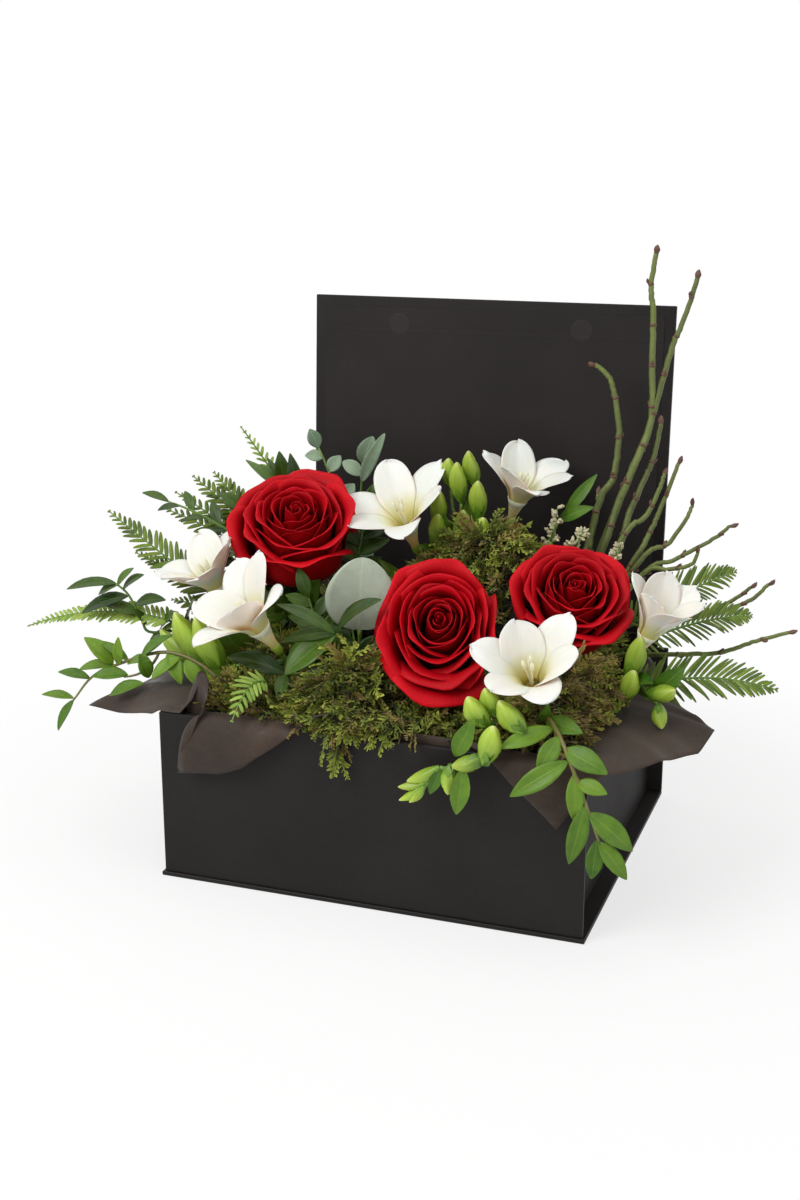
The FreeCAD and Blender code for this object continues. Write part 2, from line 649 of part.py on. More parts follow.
def build_paper():
    """One sheet of stiff brown paper: over the tray's floor, up its walls and out over the rim."""
    gauge = size("paper_gauge")
    clear = size("paper_clear") / 2
    floor = FLOOR_TOP + clear
    columns = []
    for k in range(PAPER_STATIONS):
        t = 4.0 * k / PAPER_STATIONS
        px, py = paper_wall(t, clear + size("stay_gauge"))
        edge = paper_edge(t)
        foot = vec(px * 0.992, py * 0.992, floor)
        low = vec(px, py, floor + 1.2)
        rim = vec(px, py, RIM + 1.8)
        crest = RIM + max(edge.z - RIM, 0) + 3 + 0.22 * max(RIM - edge.z, 0)
        over = vec(0.45 * px + 0.55 * edge.x, 0.45 * py + 0.55 * edge.y, crest)
        if edge.y < FRONT and edge.z < RIM:
            over = vec(edge.x, FRONT - 6, crest)
        columns.append([foot, low] + [over_rim(point) for point in curve(rim, over, edge, 4)])
    rows = len(columns[0])
    upper = []
    lower = []
    for k in range(PAPER_STATIONS):
        before = columns[k - 1]
        after = columns[(k + 1) % PAPER_STATIONS]
        for i in range(rows):
            along = columns[k][min(i + 1, rows - 1)] - columns[k][max(i - 1, 0)]
            lift = unit((after[i] - before[i]).cross(along)) * (gauge / 2)
            upper.append(columns[k][i] - lift)
            lower.append(columns[k][i] + lift)
    total = PAPER_STATIONS * rows
    points = upper + lower + [vec(0, 0, floor + gauge / 2), vec(0, 0, floor - gauge / 2)]
    facets = []
    for k in range(PAPER_STATIONS):
        a = k * rows
        b = ((k + 1) % PAPER_STATIONS) * rows
        for i in range(rows - 1):
            for x, y, z in ((a + i, b + i, b + i + 1), (a + i, b + i + 1, a + i + 1)):
                facets.append((x, z, y))
                facets.append((total + x, total + y, total + z))
        top = rows - 1
        facets.append((a + top, total + b + top, b + top))
        facets.append((a + top, total + a + top, total + b + top))
        facets.append((2 * total, a, b))
        facets.append((2 * total + 1, total + b, total + a))
    feature("lining_paper", [solid(points, facets)])


def build_moss():
    low = RIM - size("foam_below_rim") + 0.2
    high = RIM + size("foam_rear_rise") + 0.2
    feature("moss_front", [mound(spot(-4, 36, 0), 40, 25, low, RIM + 26, 0.4)])
    feature("moss_left", [mound(spot(-73, 32, 0), 26, 17, low, RIM + 8, 2.1)])
    feature("moss_right", [mound(spot(96, 58, 0), 12, 25, low, RIM + 24, 1.2)])
    feature("moss_rear", [mound(spot(28, 136, 0), 28, 28, high, RIM + 74, 3.0)])


# Facing directions of the blooms
ROSE_AXES = {"left": (0.2, -0.55, 0.81), "centre": (0.2, -0.8, 0.56), "right": (0.28, -0.62, 0.73)}
ROSE_RADII = {"left": 37.0, "centre": 35.0, "right": 32.0}


def build_roses():
    for name, direction in ROSE_AXES.items():
        axis = unit(vec(*direction))
        base = place("rose_" + name) - axis * (0.55 * size("rose_height"))
        feature("rose_%s_bloom" % name, rose(base, axis, ROSE_RADII[name], 0.7))
        foot = place("rose_%s_foot" % name)
        neck = base - axis * 9.0
        bend = (foot + neck) * 0.5 - axis * 6.0
        radius = size("rose_stem")
        stem = tube(curve(neck, bend, foot, 4), [radius] * 5, 6)
        feature("rose_%s_stem" % name, [stem] + sepals(base, axis, 15.0))


# The cluster of buds that stands between the two rear freesias, each as base and tip
TOP_BUDS = (
    ((6, 154, 100), (4, 150, 121)), ((13, 160, 110), (9, 157, 127)), ((18, 152, 91), (18, 148, 111)),
    ((-8, 151, 84), (-6, 148, 103)), ((-6, 143, 71), (-4, 139, 91)), ((8, 146, 73), (11, 142, 94)),
    ((18, 141, 80), (35, 137, 89)),
)

# Each freesia: its blooms as (place, direction, scale), its buds as base and tip, whether these trail one
# from another, and where their own stalk stands, as foot and head, if they don't spring from the bloom's
FREESIAS = {
    "left": ((("freesia_rear_left", (-0.4, -0.25, 0.88), 0.98), ("freesia_left", (-0.4, -0.48, 0.78), 1.0)),
             (((-128, 62, 14), (-146, 66, 32)), ((-122, 58, 12), (-137, 56, 38)), ((-112, 54, 10), (-122, 51, 38))),
             False, None),
    "centre": ((("freesia_centre", (-0.16, -0.42, 0.9), 1.05),), (), False, None),
    "top": ((("freesia_top", (0.32, -0.14, 0.94), 0.95),),
            TOP_BUDS, False,
            ((4, 160, 4), (3, 155, 62))),
    "front": ((("freesia_front", (0.02, -0.58, 0.81), 0.98),),
              (((84, 14, 13), (73, 6, 28)), ((68, 12, 13), (56, 9, 26)), ((73, -12, 2), (78, -13, 18)),
               ((62, -12, 1), (53, -13, -9)), ((52, -12, -8), (42, -12, -11)), ((43, -12, -12), (33, -12, -18))), True, None),
    "right": ((("freesia_right", (0.5, -0.12, 0.86), 0.95),),
              (((126, 84, 22), (133, 82, 44)), ((124, 78, 10), (131, 76, 26))), False, None),
}


def build_freesias():
    radius = size("freesia_stem")
    for name, (blooms, buds, trailing, stalk) in FREESIAS.items():
        foot = place("freesia_%s_foot" % name)
        petals = []
        greens = []
        for index, (where, direction, scale) in enumerate(blooms):
            axis = unit(vec(*direction))
            base = place(where)
            petals += freesia(base, axis, scale, 0.4 + index)
            joint = base - axis * 0.3
            bend = joint - axis * 0.25 * (joint - foot).Length
            greens.append(tube(curve(foot, bend, joint, 4), [radius] * 5))
        hub = place(blooms[-1][0]) - unit(vec(*blooms[-1][1])) * 8.0
        if stalk:
            root = spot(*stalk[0])
            hub = spot(*stalk[1])
            greens.append(tube([root, (root + hub) * 0.5 + vec(1, 0, 0), hub], [radius] * 3))
        for start, end in buds:
            base = spot(*start)
            greens.append(bud(base, spot(*end), size("bud_radius")))
            greens.append(tube(curve(hub, (hub + base) * 0.5 + vec(0, 0, -2), base, 3), [1.1] * 4, 4))
            hub = base if trailing else hub
        feature("freesia_%s_bloom" % name, petals)
        feature("freesia_%s_stem" % name, greens)


VIEWER = (0.3, -0.8, 0.5)
UPWARD = (0.15, -0.45, 0.88)


# Leaves set one by one, as base, tip and width: the broad sprig in the middle and its lower branch,
# the sprig that trails over the front corner, the upright one and the silvery one behind the left rose
MIDDLE_NODE = (-31, 40, 44)
MIDDLE_TIPS = (((-64, 34, 60), 9), ((0, 30, 70), 15), ((-56, 25, 22), 19), ((-42, 20, 10), 10), ((-64, 40, 36), 12))
LOW_NODE = (-62, 38, 18)
LOW_TIPS = (((-92, 28, 28), 15), ((-56, 17, 8), 8))
TRAIL = ((90, 40, -25), (97, 16, 17), (109, -3, 17), (120, -14, 2), (128, -17, -15), (135, -19, -31))
TRAIL_LEAVES = (
    ((98, 13, 18), (120, 2, 18), 10), ((104, 4, 18), (79, -10, 9), 9), ((109, -4, 17), (101, -15, 0), 10),
    ((113, -8, 12), (137, -14, 4), 12), ((116, -11, 7), (88, -19, -13), 11), ((120, -14, 2), (122, -19, -22), 9),
    ((122, -15, -2), (138, -18, -5), 8), ((127, -17, -13), (120, -20, -45), 10), ((129, -17, -17), (152, -18, -34), 12),
    ((134, -19, -30), (132, -21, -51), 9), ((135, -19, -31), (150, -20, -49), 9),
)
UPRIGHT_LEAVES = (((-113, 160, 97), (-115, 156, 122), 9), ((-101.5, 160, 81.3), (-107, 157, 121), 10),
                  ((-113, 160, 97), (-138, 167, 110), 7), ((-107, 160, 88.7), (-132, 168, 98), 9))
SILVER_LEAVES = (((-70, 185, 112), (-62, 183, 130), 12), ((-71, 186, 104), (-84, 186, 112), 9),
                 ((-71, 186, 100), (-53, 180, 133), 8))


def set_leaves(leaves, facing):
    return [leaf(spot(*base), spot(*tip), facing, wide, rows=3) for base, tip, wide in leaves]


def build_leaves():
    viewer = vec(*VIEWER)
    upward = vec(*UPWARD)
    big = leaf(spot(-34, 84, 34), spot(-28, 76, 80), viewer, 41, 0.12, 0.05, 5, 0.8)
    stalk = tube(curve(spot(-34, 96, -35), spot(-36, 92, 10), spot(-34, 84.5, 34), 4), [1.2] * 5)
    feature("eucalyptus_leaf", [stalk, big])
    path = curve(spot(18 - REAR_SIDE, 186, 0), spot(-78, 192, 70), spot(-104, 194, 118), 5)
    branch = tube(curve(path[2], spot(-72, 188, 84), spot(-70, 185, 113), 3), [1.0, 0.9, 0.8, 0.7], 4)
    leaves = spray(path, 7, 17, 12, viewer, 1.0, 1.2, 3) + set_leaves(SILVER_LEAVES, viewer)
    feature("eucalyptus_sprig", [branch] + leaves)
    node = spot(*MIDDLE_NODE)
    low = spot(*LOW_NODE)
    stem = tube(curve(spot(-34, 66, -35), spot(-34, 56, 20), node, 4), [1.3] * 5)
    branch = tube(curve(spot(-33.6, 55, 13), spot(-48, 50, 16), low, 3), [1.1, 1.0, 0.9, 0.8], 4)
    leaves = [leaf(node, spot(*tip), upward, wide) for tip, wide in MIDDLE_TIPS]
    leaves += [leaf(low, spot(*tip), upward, wide) for tip, wide in LOW_TIPS]
    feature("ruscus_centre", [stem, branch] + leaves)
    path = [spot(*point) for point in TRAIL]
    stem = tube(path, [1.3 - 0.16 * i for i in range(len(path))])
    feature("ruscus_trail", [stem] + set_leaves(TRAIL_LEAVES, viewer))
    path = curve(spot(-86, 42, -14), spot(-150, 32, 50), spot(-222, 48, -14), 7)
    feature("ruscus_left", spray(path, 11, 26, 12, upward, 0.8, 1.2, 3))
    path = curve(spot(18 - REAR_SIDE, 140, 0), spot(-118, 136, 74), spot(-176, 122, 92), 6)
    feature("pistacia_left", spray(path, 13, 27, 10, upward, 0.8, 1.3, 3))
    path = curve(spot(26 - REAR_SIDE, 160, 0), spot(-84, 160, 60), spot(-113, 160, 97), 5)
    stem = tube(path, [1.2 - 0.12 * i for i in range(len(path))])
    feature("ruscus_rear", [stem] + set_leaves(UPRIGHT_LEAVES, viewer))


# Fern fronds: where each leaves the foam, its bend and its tip, half its width and its pairs of leaflets
FRONDS = {
    "fern_left_low": ((-82, 94, -16), (-160, 82, 56), (-256, 78, 15), 14, 17),
    "fern_left_middle": ((12 - REAR_SIDE, 106, 0), (-140, 98, 44), (-202, 96, 88), 16, 15),
    "fern_left_high": ((14 - REAR_SIDE, 152, 2), (-120, 155, 84), (-152, 152, 116), 16, 11),
    "fern_left_pale": ((20 - REAR_SIDE, 174, 2), (-112, 174, 92), (-140, 168, 134), 9, 12),
    "fern_right_high": ((REAR_SIDE - 12, 150, 2), (132, 156, 54), (172, 150, 70), 15, 13),
    "fern_right_middle": ((REAR_SIDE - 10, 130, 0), (150, 124, 54), (184, 128, 52), 14, 11),
    "fern_right_low": ((88, 86, -14), (142, 88, 38), (204, 98, 20), 15, 14),
}


def build_ferns():
    for name, (start, bend, tip, half, pairs) in FRONDS.items():
        feature(name, frond(spot(*start), spot(*bend), spot(*tip), half, pairs, vec(0.2, -0.6, 0.75), 0.42))


# Bare twigs that stand up in front of the lid, and those that reach out to the right
TALL_TWIGS = (
    ((88, 176, 69), (103, 190, 121), (111, 196, 146), (121, 201, 191), (134, 203, 232)),
    ((100, 186, 110), (111, 195, 146), (109, 202, 209), (109, 202, 246)),
    ((78, 180, 67), (90, 192, 111), (92, 196, 135), (86, 200, 168), (75, 200, 179)),
    ((98, 178, 71), (109, 192, 111), (117, 198, 146)), ((100, 176, 77), (113, 184, 92), (122, 190, 117)),
    ((109, 174, 66), (117, 182, 84), (130, 192, 124)), ((80, 180, 70), (82, 190, 102)),
)
SIDE_TWIGS = (
    ((113, 172, 67), (128, 178, 77), (141, 182, 101)), ((115, 170, 59), (133, 172, 69), (165, 174, 92)),
    ((114, 168, 58), (131, 168, 64), (148, 168, 76)), ((110, 160, 32), (143, 150, 40), (183, 144, 64)),
    ((110, 158, 30), (143, 149, 39), (193, 140, 68)), ((106, 146, 14), (138, 131, 23), (188, 124, 38), (208, 123, 46)),
)


def build_twigs():
    radius = size("twig_radius")
    foot = place("twig_foot")
    parts = []
    for index, points in enumerate(TALL_TWIGS):
        start = foot + vec(3 * index - 4, 4 * (index % 2), 0)
        parts += twig([start] + [spot(*point) for point in points], radius, 5)
    feature("twigs_tall", parts)
    parts = []
    for index, points in enumerate(SIDE_TWIGS):
        start = vec(REAR_SIDE - 14 + 2 * index, foot.y - 7 - 5 * index, foot.z)
        parts += twig([start] + [spot(*point) for point in points], radius * 0.8, 3)
    feature("twigs_side", parts)
    parts = []
    for start, end in (((52, 166, 5), (60, 166, 92)), ((74, 148, 5), (100, 154, 76))):
        base = spot(*start)
        tip = spot(*end)
        parts.append(tube([base, (base + tip) * 0.5, tip], [0.9, 0.8, 0.6], 4))
        for k in range(6):
            joint = base + (tip - base) * (0.6 + 0.07 * k)
            turn = 2.4 * k
            away = vec(4 * math.cos(turn), 4 * math.sin(turn), 4)
            parts.append(blade(joint, joint + away, vec(0, 0, 1), 3.0, 2.6))
    feature("filler_sprigs", parts)


build_case()
build_corner_stays()
build_lid()
build_magnets()
build_hinge_fold()
build_dish()
build_foam()
build_paper()
build_moss()
build_roses()
build_freesias()
build_leaves()
build_ferns()
build_twigs()
document.recompute()

# Write each named part once everything is sound
HELPERS = ("foam_rear_block", "magnet_0", "magnet_1")
KINDS = ("PartDesign::Body", "Part::Box", "Part::Cylinder", "Part::Chamfer", "Part::Compound", "Part::Feature")
for item in document.Objects:
    if "Invalid" in item.State or "Error" in item.State:
        raise RuntimeError("unsound object: " + item.Label)
os.makedirs("parts", exist_ok=True)
for item in document.Objects:
    if item.TypeId not in KINDS or item.Name in HELPERS:
        continue
    if item.Shape.isNull() or not item.Shape.isValid():
        raise RuntimeError("unsound shape: " + item.Label)
    item.Shape.exportStep("parts/%s.step" % item.Label)
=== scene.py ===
from math import copysign, cos, exp, hypot, pi, radians, sin

import bpy
import numpy as np
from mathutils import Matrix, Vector
from numpy.random import default_rng


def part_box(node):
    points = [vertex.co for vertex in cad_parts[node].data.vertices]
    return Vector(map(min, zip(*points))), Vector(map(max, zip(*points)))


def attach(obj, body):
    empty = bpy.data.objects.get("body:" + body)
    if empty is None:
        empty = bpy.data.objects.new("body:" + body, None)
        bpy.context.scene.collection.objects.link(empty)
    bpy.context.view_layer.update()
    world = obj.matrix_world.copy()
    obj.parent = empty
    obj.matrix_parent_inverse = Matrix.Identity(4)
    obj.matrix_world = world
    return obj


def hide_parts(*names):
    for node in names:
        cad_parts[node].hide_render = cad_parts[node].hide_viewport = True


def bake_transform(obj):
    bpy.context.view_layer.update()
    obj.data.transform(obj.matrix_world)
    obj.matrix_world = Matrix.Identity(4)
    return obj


# The dressed flower box: plants, paper and finishes over the box's own boards
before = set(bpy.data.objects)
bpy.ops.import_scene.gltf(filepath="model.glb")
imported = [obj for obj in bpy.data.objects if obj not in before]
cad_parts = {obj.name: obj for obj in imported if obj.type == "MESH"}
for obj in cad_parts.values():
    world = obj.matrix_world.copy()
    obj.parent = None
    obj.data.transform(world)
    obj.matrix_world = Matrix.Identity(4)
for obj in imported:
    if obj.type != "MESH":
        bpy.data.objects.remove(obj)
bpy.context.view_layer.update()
rng = default_rng(11)

MM = 0.001
FULL_TURN = 2 * pi
ANY_PHASE = 6.28
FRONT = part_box("base_board")[0].y / MM
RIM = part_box("tray_left_wall")[1].z / MM
LID_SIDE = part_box("lid_board")[1].x / MM
# Each kind of plant and the paper draw from seeds of their own
ROSE_SEED, FREESIA_SEED, TALL_SEED, SIDE_SEED, MOSS_SEED, STRAND_SEED, PAPER_SEED = 5, 40, 60, 70, 90, 200, 31
# Places in a piece's list of materials: most pieces have a stalk second, freesias a leaf and a bract too
STALK, BLADE, BRACT_CUP, MOSS_BED = 1, 2, 3, 2


def spot(right, back, rise):
    """A point in millimetres: right of the middle, behind the base's front edge, above the rim."""
    return np.array([right, FRONT + back, RIM + rise], float)


def vec(*numbers):
    return np.array(numbers, float)


def unit(v):
    return v / np.linalg.norm(v)


def square_to(axis, toward):
    return unit(toward - axis * np.dot(toward, axis))


def local(axis):
    """Two directions square to an axis and to each other."""
    side = square_to(axis, vec(0.8, 0.5, 0.3))
    return side, np.cross(axis, side)


def around(side, other, turn):
    return side * cos(turn) + other * sin(turn)


def ring(middle, side, other, radii, sides):
    turn = np.arange(sides) * FULL_TURN / sides
    return middle + np.outer(np.cos(turn) * radii, side) + np.outer(np.sin(turn) * radii, other)


def bend(start, control, end, count):
    t = np.linspace(0, 1, count + 1)[:, None]
    return start * (1 - t) ** 2 + control * (2 * t * (1 - t)) + end * t ** 2


def arc(start, control, end, count):
    return bend(spot(*start), spot(*control), spot(*end), count)


def through(points, count):
    """A smooth line through the given points."""
    points = np.array(points, float)
    padded = np.vstack([2 * points[0] - points[1], points, 2 * points[-1] - points[-2]])
    line = []
    for k in range(len(points) - 1):
        a, b, c, d = padded[k:k + 4]
        for t in np.linspace(0, 1, count, endpoint=False):
            line.append(0.5 * (2 * b + (c - a) * t + (2 * a - 5 * b + 4 * c - d) * t * t
                               + (3 * b - a - 3 * c + d) * t ** 3))
    line.append(points[-1])
    return np.array(line)


def trace(points):
    return through([spot(*point) for point in points], 6)


def walk(path, share):
    """The point at a share of a path's steps, and the direction there."""
    step = share * (len(path) - 1)
    low = min(int(step), len(path) - 2)
    ahead = path[low + 1] - path[low]
    return path[low] + ahead * (step - low), unit(ahead)


def ease(t):
    t = np.clip(t, 0, 1)
    return t * t * (3 - 2 * t)


def put(name, data):
    """A new object in the scene."""
    thing = bpy.data.objects.new(name, data)
    bpy.context.scene.collection.objects.link(thing)
    return thing


def look(direction):
    return direction.to_track_quat("-Z", "Y").to_euler()


class Form:
    """A mesh under construction: grids and tubes in millimetres with UVs and a tint per point."""

    def __init__(self):
        self.points, self.faces, self.uvs, self.tints, self.kinds = [], [], [], [], []

    def grid(self, grid, tint=0.5, closed=False, kind=0, uv_top=1.0):
        rows, cols = grid.shape[:2]
        steps = cols if closed else cols - 1
        base = len(self.points)
        self.points.extend(grid.reshape(-1, 3))
        self.uvs.extend((j / steps, uv_top * i / (rows - 1)) for i in range(rows) for j in range(cols))
        self.tints.extend([tint] * (rows * cols))
        for low in range(base, base + (rows - 1) * cols, cols):
            high = low + cols
            for j in range(steps):
                k = (j + 1) % cols
                self.faces.append((low + j, low + k, high + k, high + j))
        self.kinds.extend([kind] * ((rows - 1) * steps))
        return base

    def tube(self, path, radii, sides=8, tint=0.5, kind=0, ridge=0.0, caps=True):
        path = np.array(path, float)
        tangents = np.gradient(path, axis=0)
        ahead = unit(tangents[0])
        side = square_to(ahead, vec(0.31, 0.17, 0.94) if abs(ahead[2]) < 0.9 else vec(0.9, 0.4, 0.1))
        ribs = 1 + ridge * np.cos(np.arange(sides) * pi)
        rings = []
        for point, tangent, radius in zip(path, tangents, radii):
            ahead = unit(tangent)
            side = square_to(ahead, side)
            rings.append(ring(point, side, np.cross(ahead, side), radius * ribs, sides))
        base = self.grid(np.array(rings), tint, True, kind)
        if caps:
            last = base + (len(path) - 1) * sides
            self.faces.append(tuple(range(base + sides - 1, base - 1, -1)))
            self.faces.append(tuple(range(last, last + sides)))
            self.kinds.extend([kind, kind])

    def turned(self, base, tip, shares, sides=12, tint=0.5, kind=0):
        """A solid of revolution about the line from base to tip: a radius at each share of its length."""
        line = [base + (tip - base) * v for v, radius in shares]
        self.tube(line, [radius for v, radius in shares], sides, tint, kind)

    def stem(self, path, first, last, sides=8, tint=0.4):
        """A stalk in the piece's second material, its radius running from first to last."""
        self.tube(path, np.linspace(first, last, len(path)), sides, tint, STALK)

    def make(self, name, materials, slot, nodes=(), body="box", gauge=0.0):
        mesh = bpy.data.meshes.new(name)
        mesh.from_pydata([tuple(p * MM) for p in self.points], [], self.faces)
        layer = mesh.uv_layers.new(name="UVMap")
        corners = np.zeros(len(mesh.loops), np.int32)
        mesh.loops.foreach_get("vertex_index", corners)
        layer.data.foreach_set("uv", np.array(self.uvs, np.float32)[corners].ravel())
        tint = mesh.attributes.new("tint", "FLOAT", "POINT")
        tint.data.foreach_set("value", np.array(self.tints, np.float32))
        for entry in materials:
            mesh.materials.append(entry)
        mesh.polygons.foreach_set("material_index", np.array(self.kinds, np.int32))
        mesh.polygons.foreach_set("use_smooth", np.full(len(mesh.polygons), True))
        mesh.update()
        piece = put(name, mesh)
        if gauge:
            solid = piece.modifiers.new("gauge", "SOLIDIFY")
            solid.thickness = gauge * MM
            solid.offset = 0.0
        if nodes:
            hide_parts(*nodes)
        if body:
            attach(piece, body)
        return piece


# Materials
def tone(red, green, blue):
    """A colour picked on screen, as the renderer's linear value."""
    parts = [number / 255 for number in (red, green, blue)]
    return tuple(p / 12.92 if p <= 0.04045 else ((p + 0.055) / 1.055) ** 2.4 for p in parts) + (1.0,)


def grey(number):
    return (number, number, number, 1.0)


def settle(node, **settings):
    """Give a node's sockets their constants. An underscore stands for a blank in a socket's name."""
    for name, setting in settings.items():
        node.inputs[name.replace("_", " ")].default_value = setting


class Finish:
    """A procedural material being wired up. Colours are given as they look on screen."""

    def __init__(self, name, roughness=0.5):
        self.material = bpy.data.materials.new(name)
        self.material.use_nodes = True
        self.tree = self.material.node_tree
        self.shader = self.tree.nodes["Principled BSDF"]
        settle(self.shader, Roughness=roughness)
        self.coords = self.tree.nodes.new("ShaderNodeTexCoord")

    def node(self, kind, **settings):
        node = self.tree.nodes.new(kind)
        for key, setting in settings.items():
            setattr(node, key, setting)
        return node

    def link(self, source, target):
        self.tree.links.new(source, target)

    def feed(self, source, target):
        """Give a socket a number, a screen colour or another node's output."""
        if isinstance(source, tuple):
            target.default_value = tone(*source)
        elif isinstance(source, (int, float)):
            target.default_value = source
        else:
            self.link(source, target)

    def noise(self, scale, detail=4.0, rough=0.55, source="Object", stretch=(1, 1, 1)):
        mapping = self.node("ShaderNodeMapping")
        settle(mapping, Scale=stretch)
        self.link(self.coords.outputs[source], mapping.inputs["Vector"])
        node = self.node("ShaderNodeTexNoise")
        settle(node, Scale=scale, Detail=detail, Roughness=rough)
        self.link(mapping.outputs["Vector"], node.inputs["Vector"])
        return node.outputs["Fac"]

    def tint(self):
        return self.node("ShaderNodeAttribute", attribute_name="tint").outputs["Fac"]

    def split(self, source):
        node = self.node("ShaderNodeSeparateXYZ")
        self.link(self.coords.outputs[source], node.inputs[0])
        return node.outputs

    def along(self):
        return self.split("UV")["Y"]

    def math(self, operation, a, b=0.0):
        node = self.node("ShaderNodeMath", operation=operation)
        self.feed(a, node.inputs[0])
        self.feed(b, node.inputs[1])
        return node.outputs[0]

    def times(self, a, b):
        return self.math("MULTIPLY", a, b)

    def off(self, a, b):
        return self.math("SUBTRACT", a, b)

    def total(self, first, *others):
        """The sum of outputs, each times its weight."""
        result = self.times(*first)
        for term in others:
            result = self.math("ADD", result, self.times(*term))
        return result

    def span(self, a, b):
        """The length of a line that runs a one way and b square to it."""
        return self.math("SQRT", self.math("ADD", self.math("POWER", a, 2.0), self.math("POWER", b, 2.0)))

    def ramp(self, fac, stops, ease_mode="LINEAR"):
        node = self.node("ShaderNodeValToRGB")
        node.color_ramp.interpolation = ease_mode
        while len(node.color_ramp.elements) < len(stops):
            node.color_ramp.elements.new(0.5)
        for element, (position, colour) in zip(node.color_ramp.elements, stops):
            element.position = position
            element.color = colour
        self.link(fac, node.inputs["Fac"])
        return node.outputs["Color"]

    def shades(self, fac, *stops):
        return self.ramp(fac, [(position, tone(*colour)) for position, colour in stops])

    def fade(self, fac, low, first, high, last, ease_mode="LINEAR"):
        """A grey that runs from first, where the factor is low, to last, where it is high."""
        return self.ramp(fac, ((low, grey(first)), (high, grey(last))), ease_mode)

    def mix(self, a, b, fac, mode="MIX"):
        node = self.node("ShaderNodeMix", data_type="RGBA", blend_type=mode)
        for source, socket in ((fac, 0), (a, 6), (b, 7)):
            self.feed(source, node.inputs[socket])
        return node.outputs[2]

    def vary(self, colour, amount, *grade):
        """Multiply a colour by a fade."""
        return self.mix(colour, self.fade(*grade), amount, "MULTIPLY")

    def done(self, colour, gloss, layers, **plain):
        """Wire up the shader. Bump layers come broadest first: height, strength and millimetres."""
        normal = None
        for height, strength, distance in layers:
            node = self.node("ShaderNodeBump")
            settle(node, Strength=strength, Distance=distance * MM)
            self.link(height, node.inputs["Height"])
            if normal is not None:
                self.link(normal, node.inputs["Normal"])
            normal = node.outputs["Normal"]
        self.link(normal, self.shader.inputs["Normal"])
        self.link(colour, self.shader.inputs["Base Color"])
        if gloss is not None:
            self.link(gloss, self.shader.inputs["Roughness"])
        settle(self.shader, **plain)
        return self.material


def wrap_paper(name, dark, light, rough, shine=0.16):
    """Black covering paper: fine fibre grain, faint handling marks and slightly uneven gloss."""
    finish = Finish(name)
    grain = finish.noise(900, 6, 0.65)
    cloud = finish.noise(14, 5, 0.6)
    scuff = finish.noise(70, 8, 0.7, stretch=(1, 1, 4))
    colour = finish.shades(cloud, (0.3, dark), (0.75, light))
    colour = finish.vary(colour, 0.8, grain, 0.35, 0.82, 0.7, 1.1)
    colour = finish.mix(colour, (76, 72, 70), finish.fade(scuff, 0.62, 0, 0.85, 0.3))
    gloss = finish.fade(cloud, 0.25, rough - 0.06, 0.8, rough + 0.08)
    return finish.done(colour, gloss, ((cloud, 0.1, 0.4), (grain, 0.22, 0.06)), Specular_IOR_Level=shine)


def lid_lining(name, spread, drop, depth):
    """The lid's inner sheet: matte black paper over two discs and the turned-in edges of the cover."""
    finish = Finish(name, 0.62)
    grain = finish.noise(1100, 6, 0.65)
    cloud = finish.noise(9, 4, 0.6)
    place = finish.split("Object")
    across = finish.off(finish.math("ABSOLUTE", place["X"]), spread)
    reach = finish.span(across, finish.off(place["Z"], drop))
    disc = finish.fade(finish.times(reach, 100.0), 0.64, 1, 0.72, 0)
    seam = finish.math("ABSOLUTE", finish.off(place["Z"], depth))
    line = finish.fade(finish.times(seam, 400.0), 0.0, 1, 0.5, 0)
    colour = finish.shades(cloud, (0.3, (31, 28, 27)), (0.75, (42, 38, 37)))
    colour = finish.vary(colour, 0.8, grain, 0.35, 0.85, 0.7, 1.08)
    colour = finish.mix(colour, (58, 54, 52), finish.times(disc, 0.25))
    layers = ((line, 0.35, 0.15), (disc, 0.5, 0.25), (grain, 0.2, 0.05))
    return finish.done(colour, None, layers, Specular_IOR_Level=0.18)


def brown_paper(name):
    """Nonwoven brown wrapping: long fibres, random darker and glossier patches of painted shade, and a soft
    sheen.
    """
    finish = Finish(name)
    fibres = finish.noise(420, 7, 0.7, stretch=(1, 0.25, 1))
    cross = finish.noise(380, 7, 0.7, stretch=(0.3, 1, 1))
    cloud = finish.noise(22, 5, 0.6)
    shade_patch_noise = finish.noise(30, 6, 0.6)
    web = finish.math("ADD", fibres, cross)
    colour = finish.shades(cloud, (0.25, (42, 32, 25)), (0.8, (70, 54, 42)))
    colour = finish.vary(colour, 0.85, finish.times(web, 0.5), 0.36, 0.72, 0.64, 1.25)
    # Painted shade: random patches darken the paper toward a deep brown and also lower its roughness
    shade_patch_mask = finish.fade(shade_patch_noise, 0.56, 0, 0.66, 1)
    colour = finish.mix(colour, (30, 23, 20), finish.times(shade_patch_mask, 0.45))
    gloss = finish.fade(shade_patch_mask, 0.0, 0.66, 1.0, 0.4)
    return finish.done(colour, gloss, ((cloud, 0.4, 0.8), (web, 0.35, 0.15)), Sheen_Weight=0.08,
                       Specular_IOR_Level=0.3)


def rose_petal(name):
    """Velvet red petals: painted shade toward the base deep in the cup, a painted highlight on the rim, fine
    lengthwise veins.
    """
    finish = Finish(name, 0.55)
    veins = finish.noise(1.0, 5, 0.6, "UV", (60, 4, 1))
    patch = finish.noise(90, 4, 0.5)
    # Painted shade and highlight: the colour runs from a dark foot deep in the cup to a brighter rim
    colour = finish.shades(finish.along(), (0.0, (112, 0, 11)), (0.4, (168, 1, 16)), (0.8, (192, 2, 20)),
                           (1.0, (206, 6, 26)))
    # The tint darkens the inner petals: painted shade in the heart of the bloom, with random tone from petal
    # to petal
    colour = finish.vary(colour, 1.0, finish.tint(), 0.0, 0.6, 1.0, 1.1)
    colour = finish.vary(colour, 0.55, veins, 0.35, 0.82, 0.65, 1.08)
    colour = finish.vary(colour, 0.6, patch, 0.4, 0.88, 0.7, 1.08)
    return finish.done(colour, None, ((patch, 0.2, 0.5), (veins, 0.25, 0.25)), Sheen_Weight=0.12,
                       Sheen_Roughness=0.4, Sheen_Tint=tone(210, 24, 36), Specular_IOR_Level=0.15)


